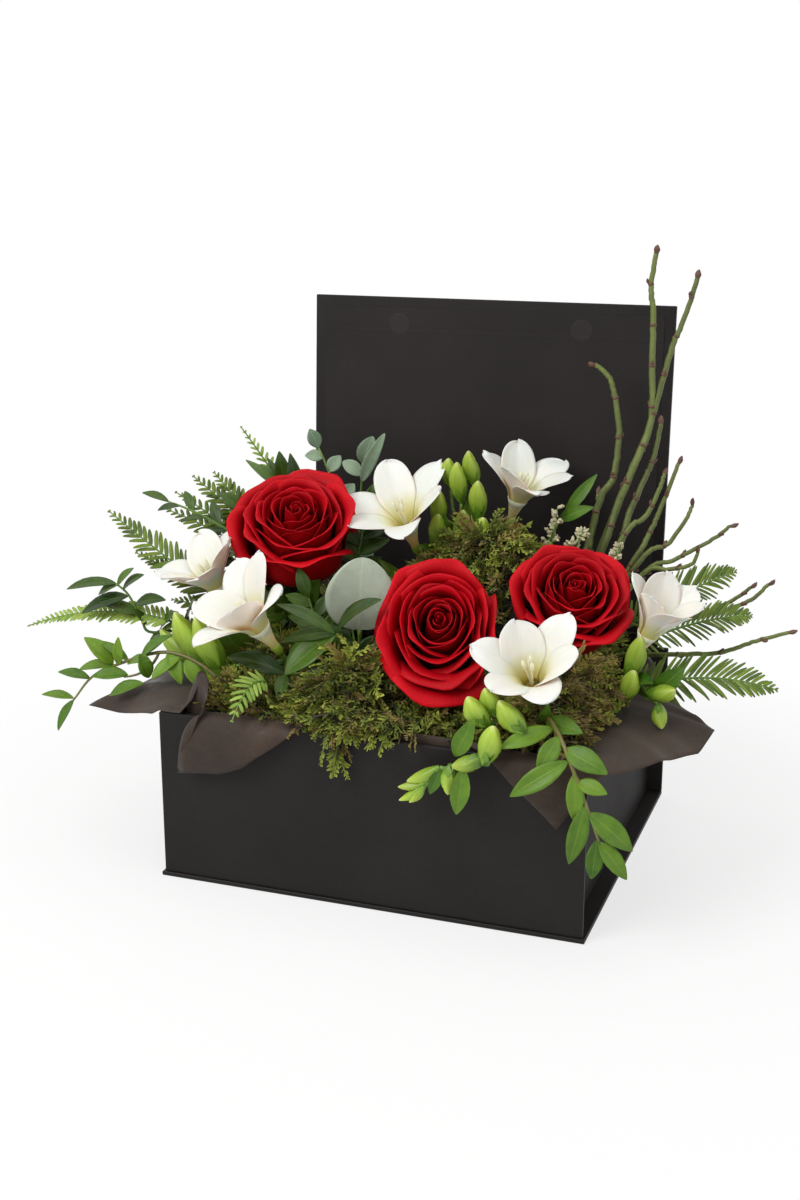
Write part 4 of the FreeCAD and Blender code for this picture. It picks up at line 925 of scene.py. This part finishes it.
# Each freesia: blooms as base, direction and size; the stem's foot; buds as base, tip and radius; whether
# they follow one another; a stalk of their own; how open and how slim the lobes are
FREESIAS = {
    "left": (
        (((-119, 90, 35), (-0.36, -0.3, 0.88), 0.98), ((-68, 46, 28), (-0.4, -0.46, 0.79), 1.08)),
        (-70, 62, -40),
        (
            ((-128, 62, 14), (-146, 66, 36), 6.4), ((-120, 58, 10), (-140, 56, 42), 7.4),
            ((-108, 54, 8), (-124, 51, 42), 7.0), ((-134, 70, 8), (-160, 74, 24), 5.6),
        ),
        False, None, 1.0, 0.94,
    ),
    "centre": ((((-21, 151, 66), (-0.16, -0.46, 0.87), 1.08),), (-22, 162, 0), (), False, None, 1.3, 0.84),
    "top": (
        (((27, 186, 79), (0.32, -0.14, 0.94), 0.95),), (34, 182, 0),
        (
            ((6, 154, 99), (4, 150, 124), 5.4), ((13, 160, 108), (9, 157, 130), 5.0),
            ((18, 152, 90), (18, 148, 114), 5.6), ((-8, 151, 83), (-6, 148, 106), 5.3),
            ((-6, 143, 71), (-4, 139, 94), 5.4), ((8, 146, 73), (11, 142, 97), 5.4),
            ((18, 141, 80), (35, 137, 89), 5.4), ((-2, 158, 107), (-3, 155, 125), 5.0),
            ((19, 142, 83), (25, 138, 94), 4.6),
        ),
        False, ((4, 160, 4), (3, 155, 62)), 1.0, 0.92,
    ),
    "front": (
        (((86, 36, 18), (0.02, -0.54, 0.84), 0.98),), (84, 52, -40),
        (
            ((91, -4, 17), (77, -5, 33), 6.0), ((75, 4, 21), (67, 3, 36), 5.4),
            ((71, -4, 18), (60, -5, 33), 6.0), ((72, -12, 0), (77, -13, 22), 6.2),
            ((70, -13, 3), (55, -14, -3), 4.6), ((54, -13, -3), (53, -14, -19), 4.4),
            ((48, -12, -5), (30, -13, -15), 4.0), ((43, -12, -13), (25, -13, -19), 2.9),
            ((40, -13, -16), (26, -14, -26), 2.8), ((40, -14, -16), (32, -15, -26), 2.4),
        ),
        True, None, 0.98, 0.95,
    ),
    "right": (
        (((126, 98, 29), (0.42, -0.12, 0.89), 0.93),), (92, 92, -25),
        (
            ((126, 84, 22), (133, 82, 48), 5.8), ((124, 78, 10), (131, 76, 30), 5.6),
            ((139, 78, 17), (155, 70, 23), 5.0), ((146, 72, 13), (149, 67, 1), 4.4),
        ),
        False, None, 0.62, 1.0,
    ),
}
BRACT_BUD = 4.2
TOP_BRANCH = ((50, 176, 50), (62, 172, 88), (64, 172, 90), (66, 172, 92))


def build_freesias():
    for index, (name, (blooms, foot, buds, trailing, stalk, opening, slim)) in enumerate(FREESIAS.items()):
        white = Form()
        green = Form()
        foot = spot(*foot)
        for number, (where, direction, size) in enumerate(blooms):
            axis = unit(vec(*direction))
            base = spot(*where)
            seed = FREESIA_SEED + 3 * index + number
            freesia(white, base, axis, size, 0.4 + number, seed, opening, slim)
            joint = base - axis * 0.3
            control = joint - axis * 0.25 * np.linalg.norm(joint - foot)
            green.stem(bend(foot, control, joint, 16), 1.5, 1.5, 9, 0.5)
            collar = ((0, 1.7), (0.3, 2.7), (0.7, 2.9), (1.0, 2.5))
            green.turned(base - axis * 2.0, base + axis * 7.0, collar, 10, 0.6)
        hub = base - axis * 8.0
        if stalk:
            root, hub = (spot(*end) for end in stalk)
            green.stem(bend(root, (root + hub) * 0.5 + vec(2, 0, 0), hub, 12), 1.5, 1.5, 9)
            elbow, fork, past, end = (spot(*place) for place in TOP_BRANCH)
            green.stem(bend(root, elbow, fork, 12), 1.0, 1.0, 7)
            green.stem(bend(fork, past, end, 4), 0.8, 0.8, 7)
        for start, end, radius in buds:
            start = spot(*start)
            bud(green, start, spot(*end), radius, rng.uniform(0.3, 0.9),
                cup=BRACT_CUP if radius > BRACT_BUD else None)
            green.stem(bend(hub, (hub + start) * 0.5 + vec(0, 0, -2), start, 10), 1.1, 1.1, 8, 0.5)
            hub = start if trailing else hub
        set_leaves(green, BRACTS[name], VIEWER, kind=BLADE)
        white.make(f"freesia_{name}_petals", [WHITE, STAMEN], "freesia_petal", [f"freesia_{name}_bloom"],
                   gauge=0.3)
        green.make(f"freesia_{name}_green", [BUD_GREEN, STEM_GREEN, FRESH_LEAF, BRACT], "freesia_green",
                   [f"freesia_{name}_stem"])


def finish_branch(form, piece, node, blade, stalk=STEM_GREEN):
    form.make(piece, [blade, stalk], "leaf_green", [node], gauge=0.3)


def build_leaves():
    form = Form()
    leaf(form, spot(-34, 84, 34), spot(-28, 76, 80), VIEWER, 41, 0.1, 0.05, 21, 13, 0.85, 0.55, full=0.5)
    form.stem(arc((-34, 96, -35), (-36, 92, 10), (-34, 84.5, 34), 12), 1.2, 1.2, 8, 0.3)
    form.make("eucalyptus_round", [EUCALYPTUS, STEM_GREEN], "eucalyptus", ["eucalyptus_leaf"], gauge=0.35)

    form = Form()
    path = arc((-68, 186, 0), (-78, 192, 70), (-104, 194, 118), 20)
    form.stem(path, 1.2, 0.5)
    spray(form, path, 9, 17, 12, VIEWER, 1.0)
    form.stem(bend(path[8], spot(-72, 188, 84), spot(-70, 185, 113), 12), 1.0, 0.6, 7)
    set_leaves(form, SILVER_LEAVES, VIEWER, 0.65)
    form.make("eucalyptus_twig", [SPRIG, STEM_GREEN], "eucalyptus", ["eucalyptus_sprig"], gauge=0.3)

    form = Form()
    set_leaves(form, MIDDLE_LEAVES, UPWARD)
    form.stem(arc((-34, 66, -35), (-34, 56, 20), MIDDLE_NODE, 14), 1.3, 1.3, 8, 0.3)
    form.stem(arc((-33.6, 55, 13), (-48, 50, 16), LOW_NODE, 12), 1.1, 0.8, 8, 0.3)
    side_shoot(form, (-34, 64, -6), (-52, 84, 10), (-66, 84, 50), 9, 24, 11)
    side_shoot(form, (-34, 65, -14), (-30, 80, 10), (-44, 92, 44), 7, 22, 10)
    side_shoot(form, (-34, 65, -16), (-72, 102, -4), (-98, 98, 36), 11, 26, 14)
    finish_branch(form, "ruscus_middle", "ruscus_centre", DARK_LEAF)

    form = Form()
    form.stem(trace(TRAIL), 1.3, 0.5, 8, 0.5)
    set_leaves(form, TRAIL_LEAVES, VIEWER)
    finish_branch(form, "ruscus_trailing", "ruscus_trail", FRESH_LEAF, WOOD)

    form = Form()
    form.stem(trace(REACHING), 1.2, 0.5)
    form.stem(arc((-146, 46, 19), (-150, 42, 6), (-166, 39, 4), 8), 0.8, 0.5, 7)
    set_leaves(form, REACHING_LEAVES, UPWARD)
    finish_branch(form, "ruscus_reaching", "ruscus_left", FRESH_LEAF, WOOD)

    form = Form()
    path = arc((-68, 140, 0), (-118, 136, 74), (-176, 122, 92), 24)
    form.stem(path, 1.3, 0.5)
    spray(form, path, 11, 22, 8, UPWARD, 0.8)
    side_shoot(form, (-86, 139, 28), (-110, 124, 36), (-130, 112, 64), 11, 22, 10)
    side_shoot(form, (-76, 139, 14), (-94, 122, 8), (-86, 92, 38), 9, 26, 14)
    form.stem(trace(HIGH_SHOOT), 1.0, 0.5)
    set_leaves(form, HIGH_LEAVES, UPWARD)
    set_leaves(form, SHADE_LEAVES, VIEWER)
    finish_branch(form, "pistacia_reaching", "pistacia_left", DARK_LEAF)

    form = Form()
    form.stem(arc((-60, 160, 0), (-84, 160, 60), (-113, 160, 97), 20), 1.2, 0.6)
    set_leaves(form, UPRIGHT_LEAVES, VIEWER)
    side_shoot(form, (-76, 160, 40), (-100, 152, 58), (-136, 146, 84), 11, 24, 10)
    side_shoot(form, (-70, 160, 26), (-66, 168, 60), (-62, 172, 84), 9, 22, 10)
    finish_branch(form, "ruscus_upright", "ruscus_rear", DARK_LEAF)


# Each fern: its shade and fronds as foot, control, tip, half width, pairs of leaflets and their width
FRONDS = {
    "fern_left_low": (
        "pale",
        (
            ((-82, 94, -16), (-160, 82, 56), (-256, 78, 15), 9, 36, 2.1),
            ((-62, 34, 0), (-68, 16, 38), (-73, -9, 4), 9, 10, 1.6),
        ),
    ),
    "fern_left_middle": (
        "deep",
        (
            ((-74, 106, 0), (-140, 98, 44), (-206, 99, 89), 14, 25, 2.3),
            ((-76, 108, 0), (-130, 104, 40), (-190, 102, 63), 11, 22, 2.0),
            ((-76, 108, 0), (-120, 108, 30), (-164, 98, 36), 11, 18, 2.0),
        ),
    ),
    "fern_left_high": (
        "deep",
        (
            ((-72, 152, 2), (-120, 152, 60), (-195, 149, 81), 12, 22, 3.1),
            ((-72, 152, 2), (-120, 155, 64), (-174, 152, 103), 13, 21, 3.2),
            ((-72, 152, 2), (-126, 156, 70), (-160, 154, 106), 12, 19, 3.1),
            ((-72, 152, 2), (-124, 150, 62), (-184, 146, 93), 11, 19, 3.0),
        ),
    ),
    "fern_left_pale": ("pale", (((-66, 174, 2), (-108, 172, 84), (-147, 168, 134), 8, 20, 2.6),)),
    "fern_right_high": ("deep", (((74, 150, 2), (128, 156, 50), (173, 150, 71), 17, 24, 1.4),)),
    "fern_right_middle": ("deep", (((76, 130, 0), (146, 124, 50), (186, 128, 52), 15, 24, 1.4),)),
    "fern_right_low": ("deep", (((88, 86, -14), (142, 88, 38), (206, 98, 20), 17, 26, 1.6),)),
}
FROND_FACING = vec(0.2, -0.6, 0.75)


def frond(form, start, control, tip, half, pairs, wide):
    """A fern frond: slim leaflets in pairs along a bending rib, leaning forward, shorter toward the tip."""
    path = arc(start, control, tip, 40)
    form.stem(path, 1.0, 0.3, 6, 0.3)
    for k in range(pairs):
        share = k / (pairs - 1)
        base, ahead = walk(path, 0.36 + 0.63 * share)
        out = np.cross(ahead, square_to(ahead, FROND_FACING))
        swell = 0.13 + 1.03 * sin(pi * (0.24 + 0.76 * share)) ** 0.92
        reach = half * swell * rng.uniform(0.9, 1.08)
        for side in (1, -1):
            way = out * side + ahead * (0.6 + 0.6 * share + rng.normal(0, 0.07))
            way = unit(way + vec(0, 0, rng.normal(0, 0.1)))
            leaf(form, base, base + way * reach, FROND_FACING, min(wide, 0.26 * reach), 0.3, 0.05, 7, 3, 0.8,
                 full=0.5)


def build_ferns():
    for name, (shade, fronds) in FRONDS.items():
        form = Form()
        for entry in fronds:
            frond(form, *entry)
        green = PALE_FERN if shade == "pale" else FERN
        form.make(name + "_frond", [green, STEM_GREEN], "fern_green", [name], gauge=0.2)


TWIG_FOOT = (64, 172, 0)
TALL_TWIGS = (
    (
        (88, 176, 69), (95, 184, 96), (103, 190, 121), (111, 196, 146), (121, 201, 191), (125, 202, 202),
        (134, 203, 232),
    ),
    (
        (100, 186, 110), (111, 195.5, 146), (110, 199, 180), (109, 202, 209), (107, 202, 226),
        (109, 202, 246),
    ),
    (
        (78, 180, 67), (84, 188, 100), (90, 192, 111), (92, 196, 130), (91, 198, 147), (86, 200, 168),
        (80, 200, 176), (75, 200, 179),
    ),
    ((98, 178, 71), (102, 186, 91), (109, 192, 111), (114, 196, 126), (117, 198, 146)),
    ((100, 176, 77), (113, 184, 92), (120, 188, 109), (122, 190, 117)),
    ((109, 174, 66), (117, 182, 84), (123, 188, 102), (130, 192, 124)),
    ((80, 180, 70), (82, 186, 89), (82, 190, 102)),
)
SIDE_TWIGS = (
    ((113, 172, 67), (128, 178, 77), (138, 180, 93), (141, 182, 101)),
    ((115, 170, 59), (133, 172, 69), (155, 174, 83), (165, 174, 92)),
    ((114, 168, 58), (131, 168, 64), (144, 168, 68), (148, 168, 76)),
    ((110, 160, 32), (143, 150, 40), (168, 146, 52), (183, 144, 64)),
    ((110, 158, 30), (143, 149, 39), (180, 142, 55), (193, 140, 68)),
    ((106, 146, 14), (138, 131, 23), (169, 126, 29), (188, 124, 38), (208, 123, 46)),
)
TALL_SPACING = 24.0
SIDE_SPACING = 25.5
FILLERS = (((52, 166, 5), (63, 164, 96)), ((54, 165, 30), (80, 162, 84)), ((74, 148, 5), (104, 156, 78)))
FILLER_JOINTS = 22


def knobbly(form, start, points, radius, spacing, seed):
    """A ridged twig with a brown ring and a scaly bud at each joint."""
    chance = default_rng(seed)
    path = through([start] + [spot(*point) for point in points], 10)
    length = np.concatenate([[0], np.cumsum(np.linalg.norm(np.diff(path, axis=0), axis=1))])
    path = path + chance.normal(0, 0.16, path.shape)
    radii = radius * np.linspace(1.0, 0.62, len(path))
    form.tube(path, radii, 10, chance.uniform(0.2, 0.8), 0, 0.13)
    for k, at in enumerate(np.arange(chance.uniform(14, 24), length[-1] - 6, spacing)):
        place, beyond = (np.array([np.interp(reach, length, path[:, i]) for i in range(3)])
                         for reach in (at, at + 2))
        thick = np.interp(at, length, radii)
        ahead = unit(beyond - place)
        out = around(*local(ahead), 2.4 * k + chance.uniform(0, 1))
        knob = [(v, thick * share) for v, share in ((0, 0.98), (0.4, 1.3), (0.7, 1.25), (1, 0.98))]
        form.turned(place - ahead * 0.9, place + ahead * 1.1, knob, 10, 0.4, 1)
        start = place + out * thick * 0.7
        bud(form, start, start + ahead * 3.4 + out * 1.6, 1.0, 0.5, 1)
    end = unit(path[-1] - path[-2])
    bud(form, path[-1] - end * 1.0, path[-1] + end * 5.0, radius * 0.85, 0.5, 1)


def build_twigs():
    foot = spot(*TWIG_FOOT)
    form = Form()
    for index, points in enumerate(TALL_TWIGS):
        start = foot + vec(3 * index - 4, 4 * (index % 2), 0)
        knobbly(form, start, points, 2.2 if index < 4 else 1.75, TALL_SPACING, TALL_SEED + index)
    form.make("twigs_upright", [BARK, SCALE], "twig_bark", ["twigs_tall"])
    form = Form()
    for index, points in enumerate(SIDE_TWIGS):
        start = foot + vec(8 + 2 * index, -7 - 5 * index, 0)
        knobbly(form, start, points, 1.55, SIDE_SPACING, SIDE_SEED + index)
    form.make("twigs_reaching", [BARK, SCALE], "twig_bark", ["twigs_side"])
    form = Form()
    for start, end in FILLERS:
        start = spot(*start)
        end = spot(*end)
        form.stem(np.linspace(start, end, 8), 0.9, 0.5, 7)
        for k in range(FILLER_JOINTS):
            joint = start + (end - start) * (0.66 + 0.34 * k / (FILLER_JOINTS - 1))
            twig = unit(vec(*rng.normal(0, 1, 2), 0.8)) * (7.0 - 0.2 * k)
            form.stem(np.linspace(joint, joint + twig, 3), 0.35, 0.35, 5, 0.5)
            for share in (0.35, 0.6, 0.8, 1.0):
                floret = joint + twig * share
                away = unit(unit(twig) + rng.normal(0, 0.7, 3))
                tip = floret + away * rng.uniform(2.2, 3.6)
                bud(form, floret, tip, rng.uniform(0.8, 1.15), rng.uniform(0.2, 0.9), sides=12)
    form.make("filler_florets", [CREAM, STEM_GREEN], "filler_cream", ["filler_sprigs"])


# Moss pads: from left to right, from near to far, the level under them, their thickness, humps as middle,
# height and half widths, the number of strands and the share of brown moss
MOSSES = {
    "moss_front": (
        (-62, 78), (9, 94), -4.8, 5.0, ((-16, 36, 30, 19, 13), (-30, 24, 12, 13, 10), (44, 46, 8, 22, 22)),
        1350, 0.3,
    ),
    "moss_left": (
        (-101, -60), (12, 94), -4.8, 4.0,
        ((-76, 32, 8, 20, 14), (-90, 60, 6, 14, 24), (-84, 84, 20, 18, 11)), 520, 0.25,
    ),
    "moss_right": (
        (76, 110), (14, 96), -4.8, 5.0, ((97, 58, 26, 11, 26), (90, 34, 14, 14, 14), (106, 80, 20, 8, 18)),
        700, 0.7,
    ),
    "moss_rear": (
        (-85, 85), (99, 203), 22.2, 4.5,
        (
            (30, 138, 52, 24, 24), (4, 132, 26, 22, 20), (60, 140, 22, 18, 20), (-40, 130, 16, 24, 22),
            (52, 120, 18, 15, 14),
        ),
        1700, 0.3,
    ),
}
MOSS_SINK = 2.5
MOSS_SHOOTS = 12
STRAND_LENGTH = 10
LID_CLEARANCE = 14 * MM


def strand(form, chance):
    """One feathery shoot of moss, upright: a bent stem with two rows of slim side shoots."""
    path = bend(vec(0, 0, 0), vec(0, 0, 6), vec(chance.uniform(1, 5), chance.normal(0, 1), 9.5), 4)
    flat = square_to(vec(0, 0, 1), chance.normal(0, 1, 3))
    form.tube(path, np.linspace(0.45, 0.2, 5), 3, 0.0, caps=False)
    for k in range(MOSS_SHOOTS):
        joint, ahead = walk(path, 0.1 + 0.9 * k / (MOSS_SHOOTS - 1))
        out = unit(np.cross(ahead, flat) * (1 if k % 2 else -1) + ahead * 0.9 + chance.normal(0, 0.2, 3))
        reach = chance.uniform(2.4, 4.2) * (1.1 - 0.7 * k / MOSS_SHOOTS)
        wide = unit(np.cross(out, flat) + chance.normal(0, 0.3, 3)) * chance.uniform(0.4, 0.75)
        grid = [[joint + out * reach * v + wide * half * side for side in (-1, 1)]
                for v, half in ((0.0, 0.4), (0.5, 1.0), (1.0, 0.2))]
        # Higher side shoots get a higher tint and so a brighter colour: partly painted shade low on the
        # strand, partly paler young tips
        form.grid(np.array(grid), 0.25 * k / MOSS_SHOOTS)


def plant_strand(form, template, base, way, length, tint, kind):
    """Set a copy of a moss shoot on the pad, drooping downhill."""
    way = unit(way)
    downhill = square_to(way, vec(0.05, 0.02, -1.0))
    turn = np.array([downhill, np.cross(way, downhill), way])
    first = len(form.points)
    form.points.extend(np.array(template.points) @ turn * (length / STRAND_LENGTH) + base)
    form.faces.extend(tuple(first + corner for corner in face) for face in template.faces)
    form.uvs.extend(template.uvs)
    form.tints.extend(min(tint + shade, 1.0) for shade in template.tints)
    form.kinds.extend([kind] * len(template.faces))


def fringe_sites(name, chance):
    """Strands that hang from the front pad over the rim, or cover the rear foam's front and sides."""
    sites = []
    if name == "moss_front":
        for k in range(190):
            x = chance.normal(-8, 14)
            back = chance.uniform(3, 14)
            place = spot(x, back, chance.uniform(1.5, 3.5) + 0.5 * back)
            sites.append((place, vec(chance.normal(0, 0.3), -0.9, 0.25)))
        for k in range(12):
            drop = chance.uniform(0, 1)
            place = spot(-14 + 3 * drop + chance.normal(0, 1.5), 1 - 3 * drop, 3 - 17 * drop)
            sites.append((place, vec(chance.normal(0, 0.5), -0.5, -0.6)))
    if name == "moss_rear":
        low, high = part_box("foam_rear")
        for k in range(520):
            x = chance.uniform(low.x, high.x) / MM
            sites.append((vec(x, low.y / MM, chance.uniform(RIM - 3, high.z / MM)), vec(0, -1, 0.3)))
        for k in range(420):
            side = 1 if k % 2 else -1
            y = chance.uniform(low.y, high.y - LID_CLEARANCE) / MM
            place = vec(side * high.x / MM, y, chance.uniform(RIM + 4, high.z / MM))
            sites.append((place, vec(side, 0, 0.4)))
    return sites


def moss_pad(index, name, left, right, near, far, level, carpet, humps, strands, brown, templates):
    """A bumpy bed covered with strands, thickest on its humps."""
    chance = default_rng(MOSS_SEED + index)

    def height(x, back):
        return level + carpet + sum(rise * exp(-((x - cx) / wx) ** 2 - ((back - cy) / wy) ** 2)
                                    for cx, cy, rise, wx, wy in humps)

    form = Form()
    grid = [[spot(x, back, height(x, back) - MOSS_SINK + chance.normal(0, 0.7))
             for x in np.linspace(left, right, 40)] for back in np.linspace(near, far, 36)]
    # The bed takes the near-black moss bed material: painted shade under the strands
    form.grid(np.array(grid), 0.0, False, MOSS_BED)
    sites = []
    for k in range(strands):
        if k % 5 < 3:
            cx, cy, _, wx, wy = humps[k % len(humps)]
            x = np.clip(chance.normal(cx, wx * 0.75), left, right)
            back = np.clip(chance.normal(cy, wy * 0.75), near, far)
        else:
            x = chance.uniform(left, right)
            back = chance.uniform(near, far)
        slope_x = height(x + 1, back) - height(x - 1, back)
        slope_y = height(x, back + 1) - height(x, back - 1)
        place = spot(x, back, height(x, back) - MOSS_SINK)
        sites.append((place, vec(-0.5 * slope_x, -0.5 * slope_y, 0.75)))
    for base, way in sites + fringe_sites(name, chance):
        way = unit(way) + chance.normal(0, 0.38, 3)
        clump = sin(0.21 * base[0] + 1.3 * index) * sin(0.26 * base[1] + 0.17 * base[2])
        tint = np.clip(chance.normal(0.42 + 0.26 * clump, 0.18), 0, 1)
        kind = 1 if chance.uniform() < brown else 0
        template = templates[chance.integers(len(templates))]
        plant_strand(form, template, base, way, chance.uniform(8, 19), tint, kind)
    form.make(name + "_pad", [MOSS, BROWN_MOSS, MOSS_SHADE_BED], "moss", [name])


def build_moss():
    templates = [Form() for k in range(12)]
    for k, template in enumerate(templates):
        strand(template, default_rng(STRAND_SEED + k))
    for index, (name, ((left, right), (near, far), *rest)) in enumerate(MOSSES.items()):
        moss_pad(index, name, left, right, near, far, *rest, templates)


# The lining paper, on the same stations as the bare model's sheet: the station, counted in walls from the
# front left corner, and where the paper's edge is there
PAPER_EDGE = np.array((
    (0.0, -97, 8, 25), (0.03, -93, 4, 21), (0.0625, -90, -3, 14), (0.125, -108, -7, -32),
    (0.1875, -84, -8, -28), (0.25, -68, -8, -23), (0.3125, -46, -6, -6), (0.375, -28, -4, 9),
    (0.4, -20, -2, 12), (0.4375, -10, -1, 7), (0.5, 0, 7, 3), (0.6875, 46, 9, 2), (0.75, 58, 4, 4),
    (0.8125, 70, -5, 3), (0.875, 86, -7, -13), (0.9375, 110, -8, -33), (1.0, 131, -5, -2),
    (1.0625, 144, 12, -3), (1.25, 160, 40, -5), (1.34, 171, 62, -8), (1.4, 175, 86, -3), (1.5, 160, 98, 0),
    (1.625, 140, 124, 4), (1.8125, 122, 170, 7), (2.0, 107, 209.5, 9), (2.5, 0, 210, 12),
    (3.0, -107, 209.5, 9), (3.3125, -124, 150, 8), (3.625, -152, 95, 0), (3.75, -177, 62, -13),
    (3.8125, -193, 42, -18), (3.86, -167, 30, -15), (3.9, -146, 16, -9), (3.9375, -128, 3, -3),
    (3.96, -119, 1, -3), (3.98, -107, 1, 0), (4.0, -97, 8, 25),
))
PAPER_STATIONS = 320
PAPER_CLIMB = 6
PAPER_FLARE = 18
PAPER_INSET = 0.85
PAPER_CORNER = 10.0
FLOOR_GAP = 0.55
RIM_GAP = 1.8
BASE_SIDE = 125


def paper_wall(t):
    """Where the sheet stands against the tray's walls at a station, round the corners."""
    tray_low, tray_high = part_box("tray_floor")
    wall = (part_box("tray_left_wall")[1].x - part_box("tray_left_wall")[0].x) / MM
    half_x = tray_high.x / MM - wall - PAPER_INSET
    half_y = (tray_high.y - tray_low.y) / 2 / MM - wall - PAPER_INSET
    middle = (tray_high.y + tray_low.y) / 2 / MM
    along = 2 * (t - int(t)) - 1
    x, y = ((along, -1), (1, along), (-along, 1), (-1, -along))[int(t) % 4]
    px, py = half_x * x, half_y * y
    over_x = abs(px) - (half_x - PAPER_CORNER)
    over_y = abs(py) - (half_y - PAPER_CORNER)
    if over_x > 0 and over_y > 0:
        reach = hypot(over_x, over_y)
        px = copysign(half_x - PAPER_CORNER + over_x / reach * PAPER_CORNER, x)
        py = copysign(half_y - PAPER_CORNER + over_y / reach * PAPER_CORNER, y)
    return px, py + middle


def build_paper():
    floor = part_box("tray_floor")[1].z / MM + FLOOR_GAP
    wiggle = default_rng(PAPER_SEED).uniform(0, ANY_PHASE, 12)
    columns = []
    for k in range(PAPER_STATIONS):
        t = 4.0 * k / PAPER_STATIONS
        px, py = paper_wall(t)
        edge = spot(*[np.interp(t, PAPER_EDGE[:, 0], PAPER_EDGE[:, i]) for i in (1, 2, 3)])
        crest = max(edge[2], RIM) + 3 + 0.22 * max(RIM - edge[2], 0)
        over = vec(0.45 * px + 0.55 * edge[0], 0.45 * py + 0.55 * edge[1], crest)
        if edge[1] < FRONT and edge[2] < RIM:
            over = vec(edge[0], FRONT - 6, crest)
        column = [vec(px * share, py * share, floor) for share in (0, 0.5, 0.992)]
        column += [vec(px, py, z) for z in np.linspace(floor + 1.2, RIM + RIM_GAP, PAPER_CLIMB)[:-1]]
        outward = unit(vec(px, py, 0.001))
        for i, point in enumerate(bend(vec(px, py, RIM + RIM_GAP), over, edge, PAPER_FLARE)):
            v = i / PAPER_FLARE
            crease = sin(23 * t + wiggle[0]) + 0.7 * sin(41 * t + wiggle[1] + 3 * v)
            crease += 0.5 * sin(67 * t + 5 * v + wiggle[2])
            point = point + (vec(0, 0, 0.55) + outward * 0.35) * crease * v
            if abs(point[0]) < BASE_SIDE and point[1] > FRONT + 0.5:
                point[2] = max(point[2], RIM + 1.0)
            column.append(point)
        columns.append(column)
    form = Form()
    form.grid(np.transpose(np.array(columns), (1, 0, 2)), 0.5, True)
    piece = form.make("paper_sheet", [PAPER], "brown_paper", ["lining_paper"], gauge=0.3)


def build_hinge_strip():
    """The covering paper that runs from the spine over the fold to the lid's back."""
    half = LID_SIDE - 0.5
    skin = 0.35
    spine_low, spine_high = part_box("spine_hinge_leaf")
    leaf_low, leaf_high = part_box("lid_hinge_leaf")
    fold_low, fold_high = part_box("hinge_fold")
    start = vec(0, spine_high.y / MM + skin, spine_low.z / MM + 1)
    turn = vec(0, spine_high.y / MM + skin, spine_high.z / MM)
    end_low = vec(0, leaf_low.y / MM + 0.6 + skin, leaf_low.z / MM + 0.2)
    end = vec(0, leaf_high.y / MM + skin, leaf_high.z / MM - 1)
    middle = vec(0, (fold_high.y / MM + end_low[1]) / 2 + 0.2, (fold_low.z + fold_high.z) / 2 / MM)
    line = through([start, (start + turn) / 2, turn, middle, end_low, (end_low + end) / 2, end], 8)
    form = Form()
    form.grid(np.array([[point + vec(x, 0, 0) for x in np.linspace(-half, half, 41)] for point in line]))
    piece = form.make("hinge_strip", [HINGE], "hinge_paper", body="", gauge=0.25)
    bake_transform(piece)


build_roses()
build_freesias()
build_leaves()
build_ferns()
build_twigs()
build_moss()
build_paper()
build_hinge_strip()
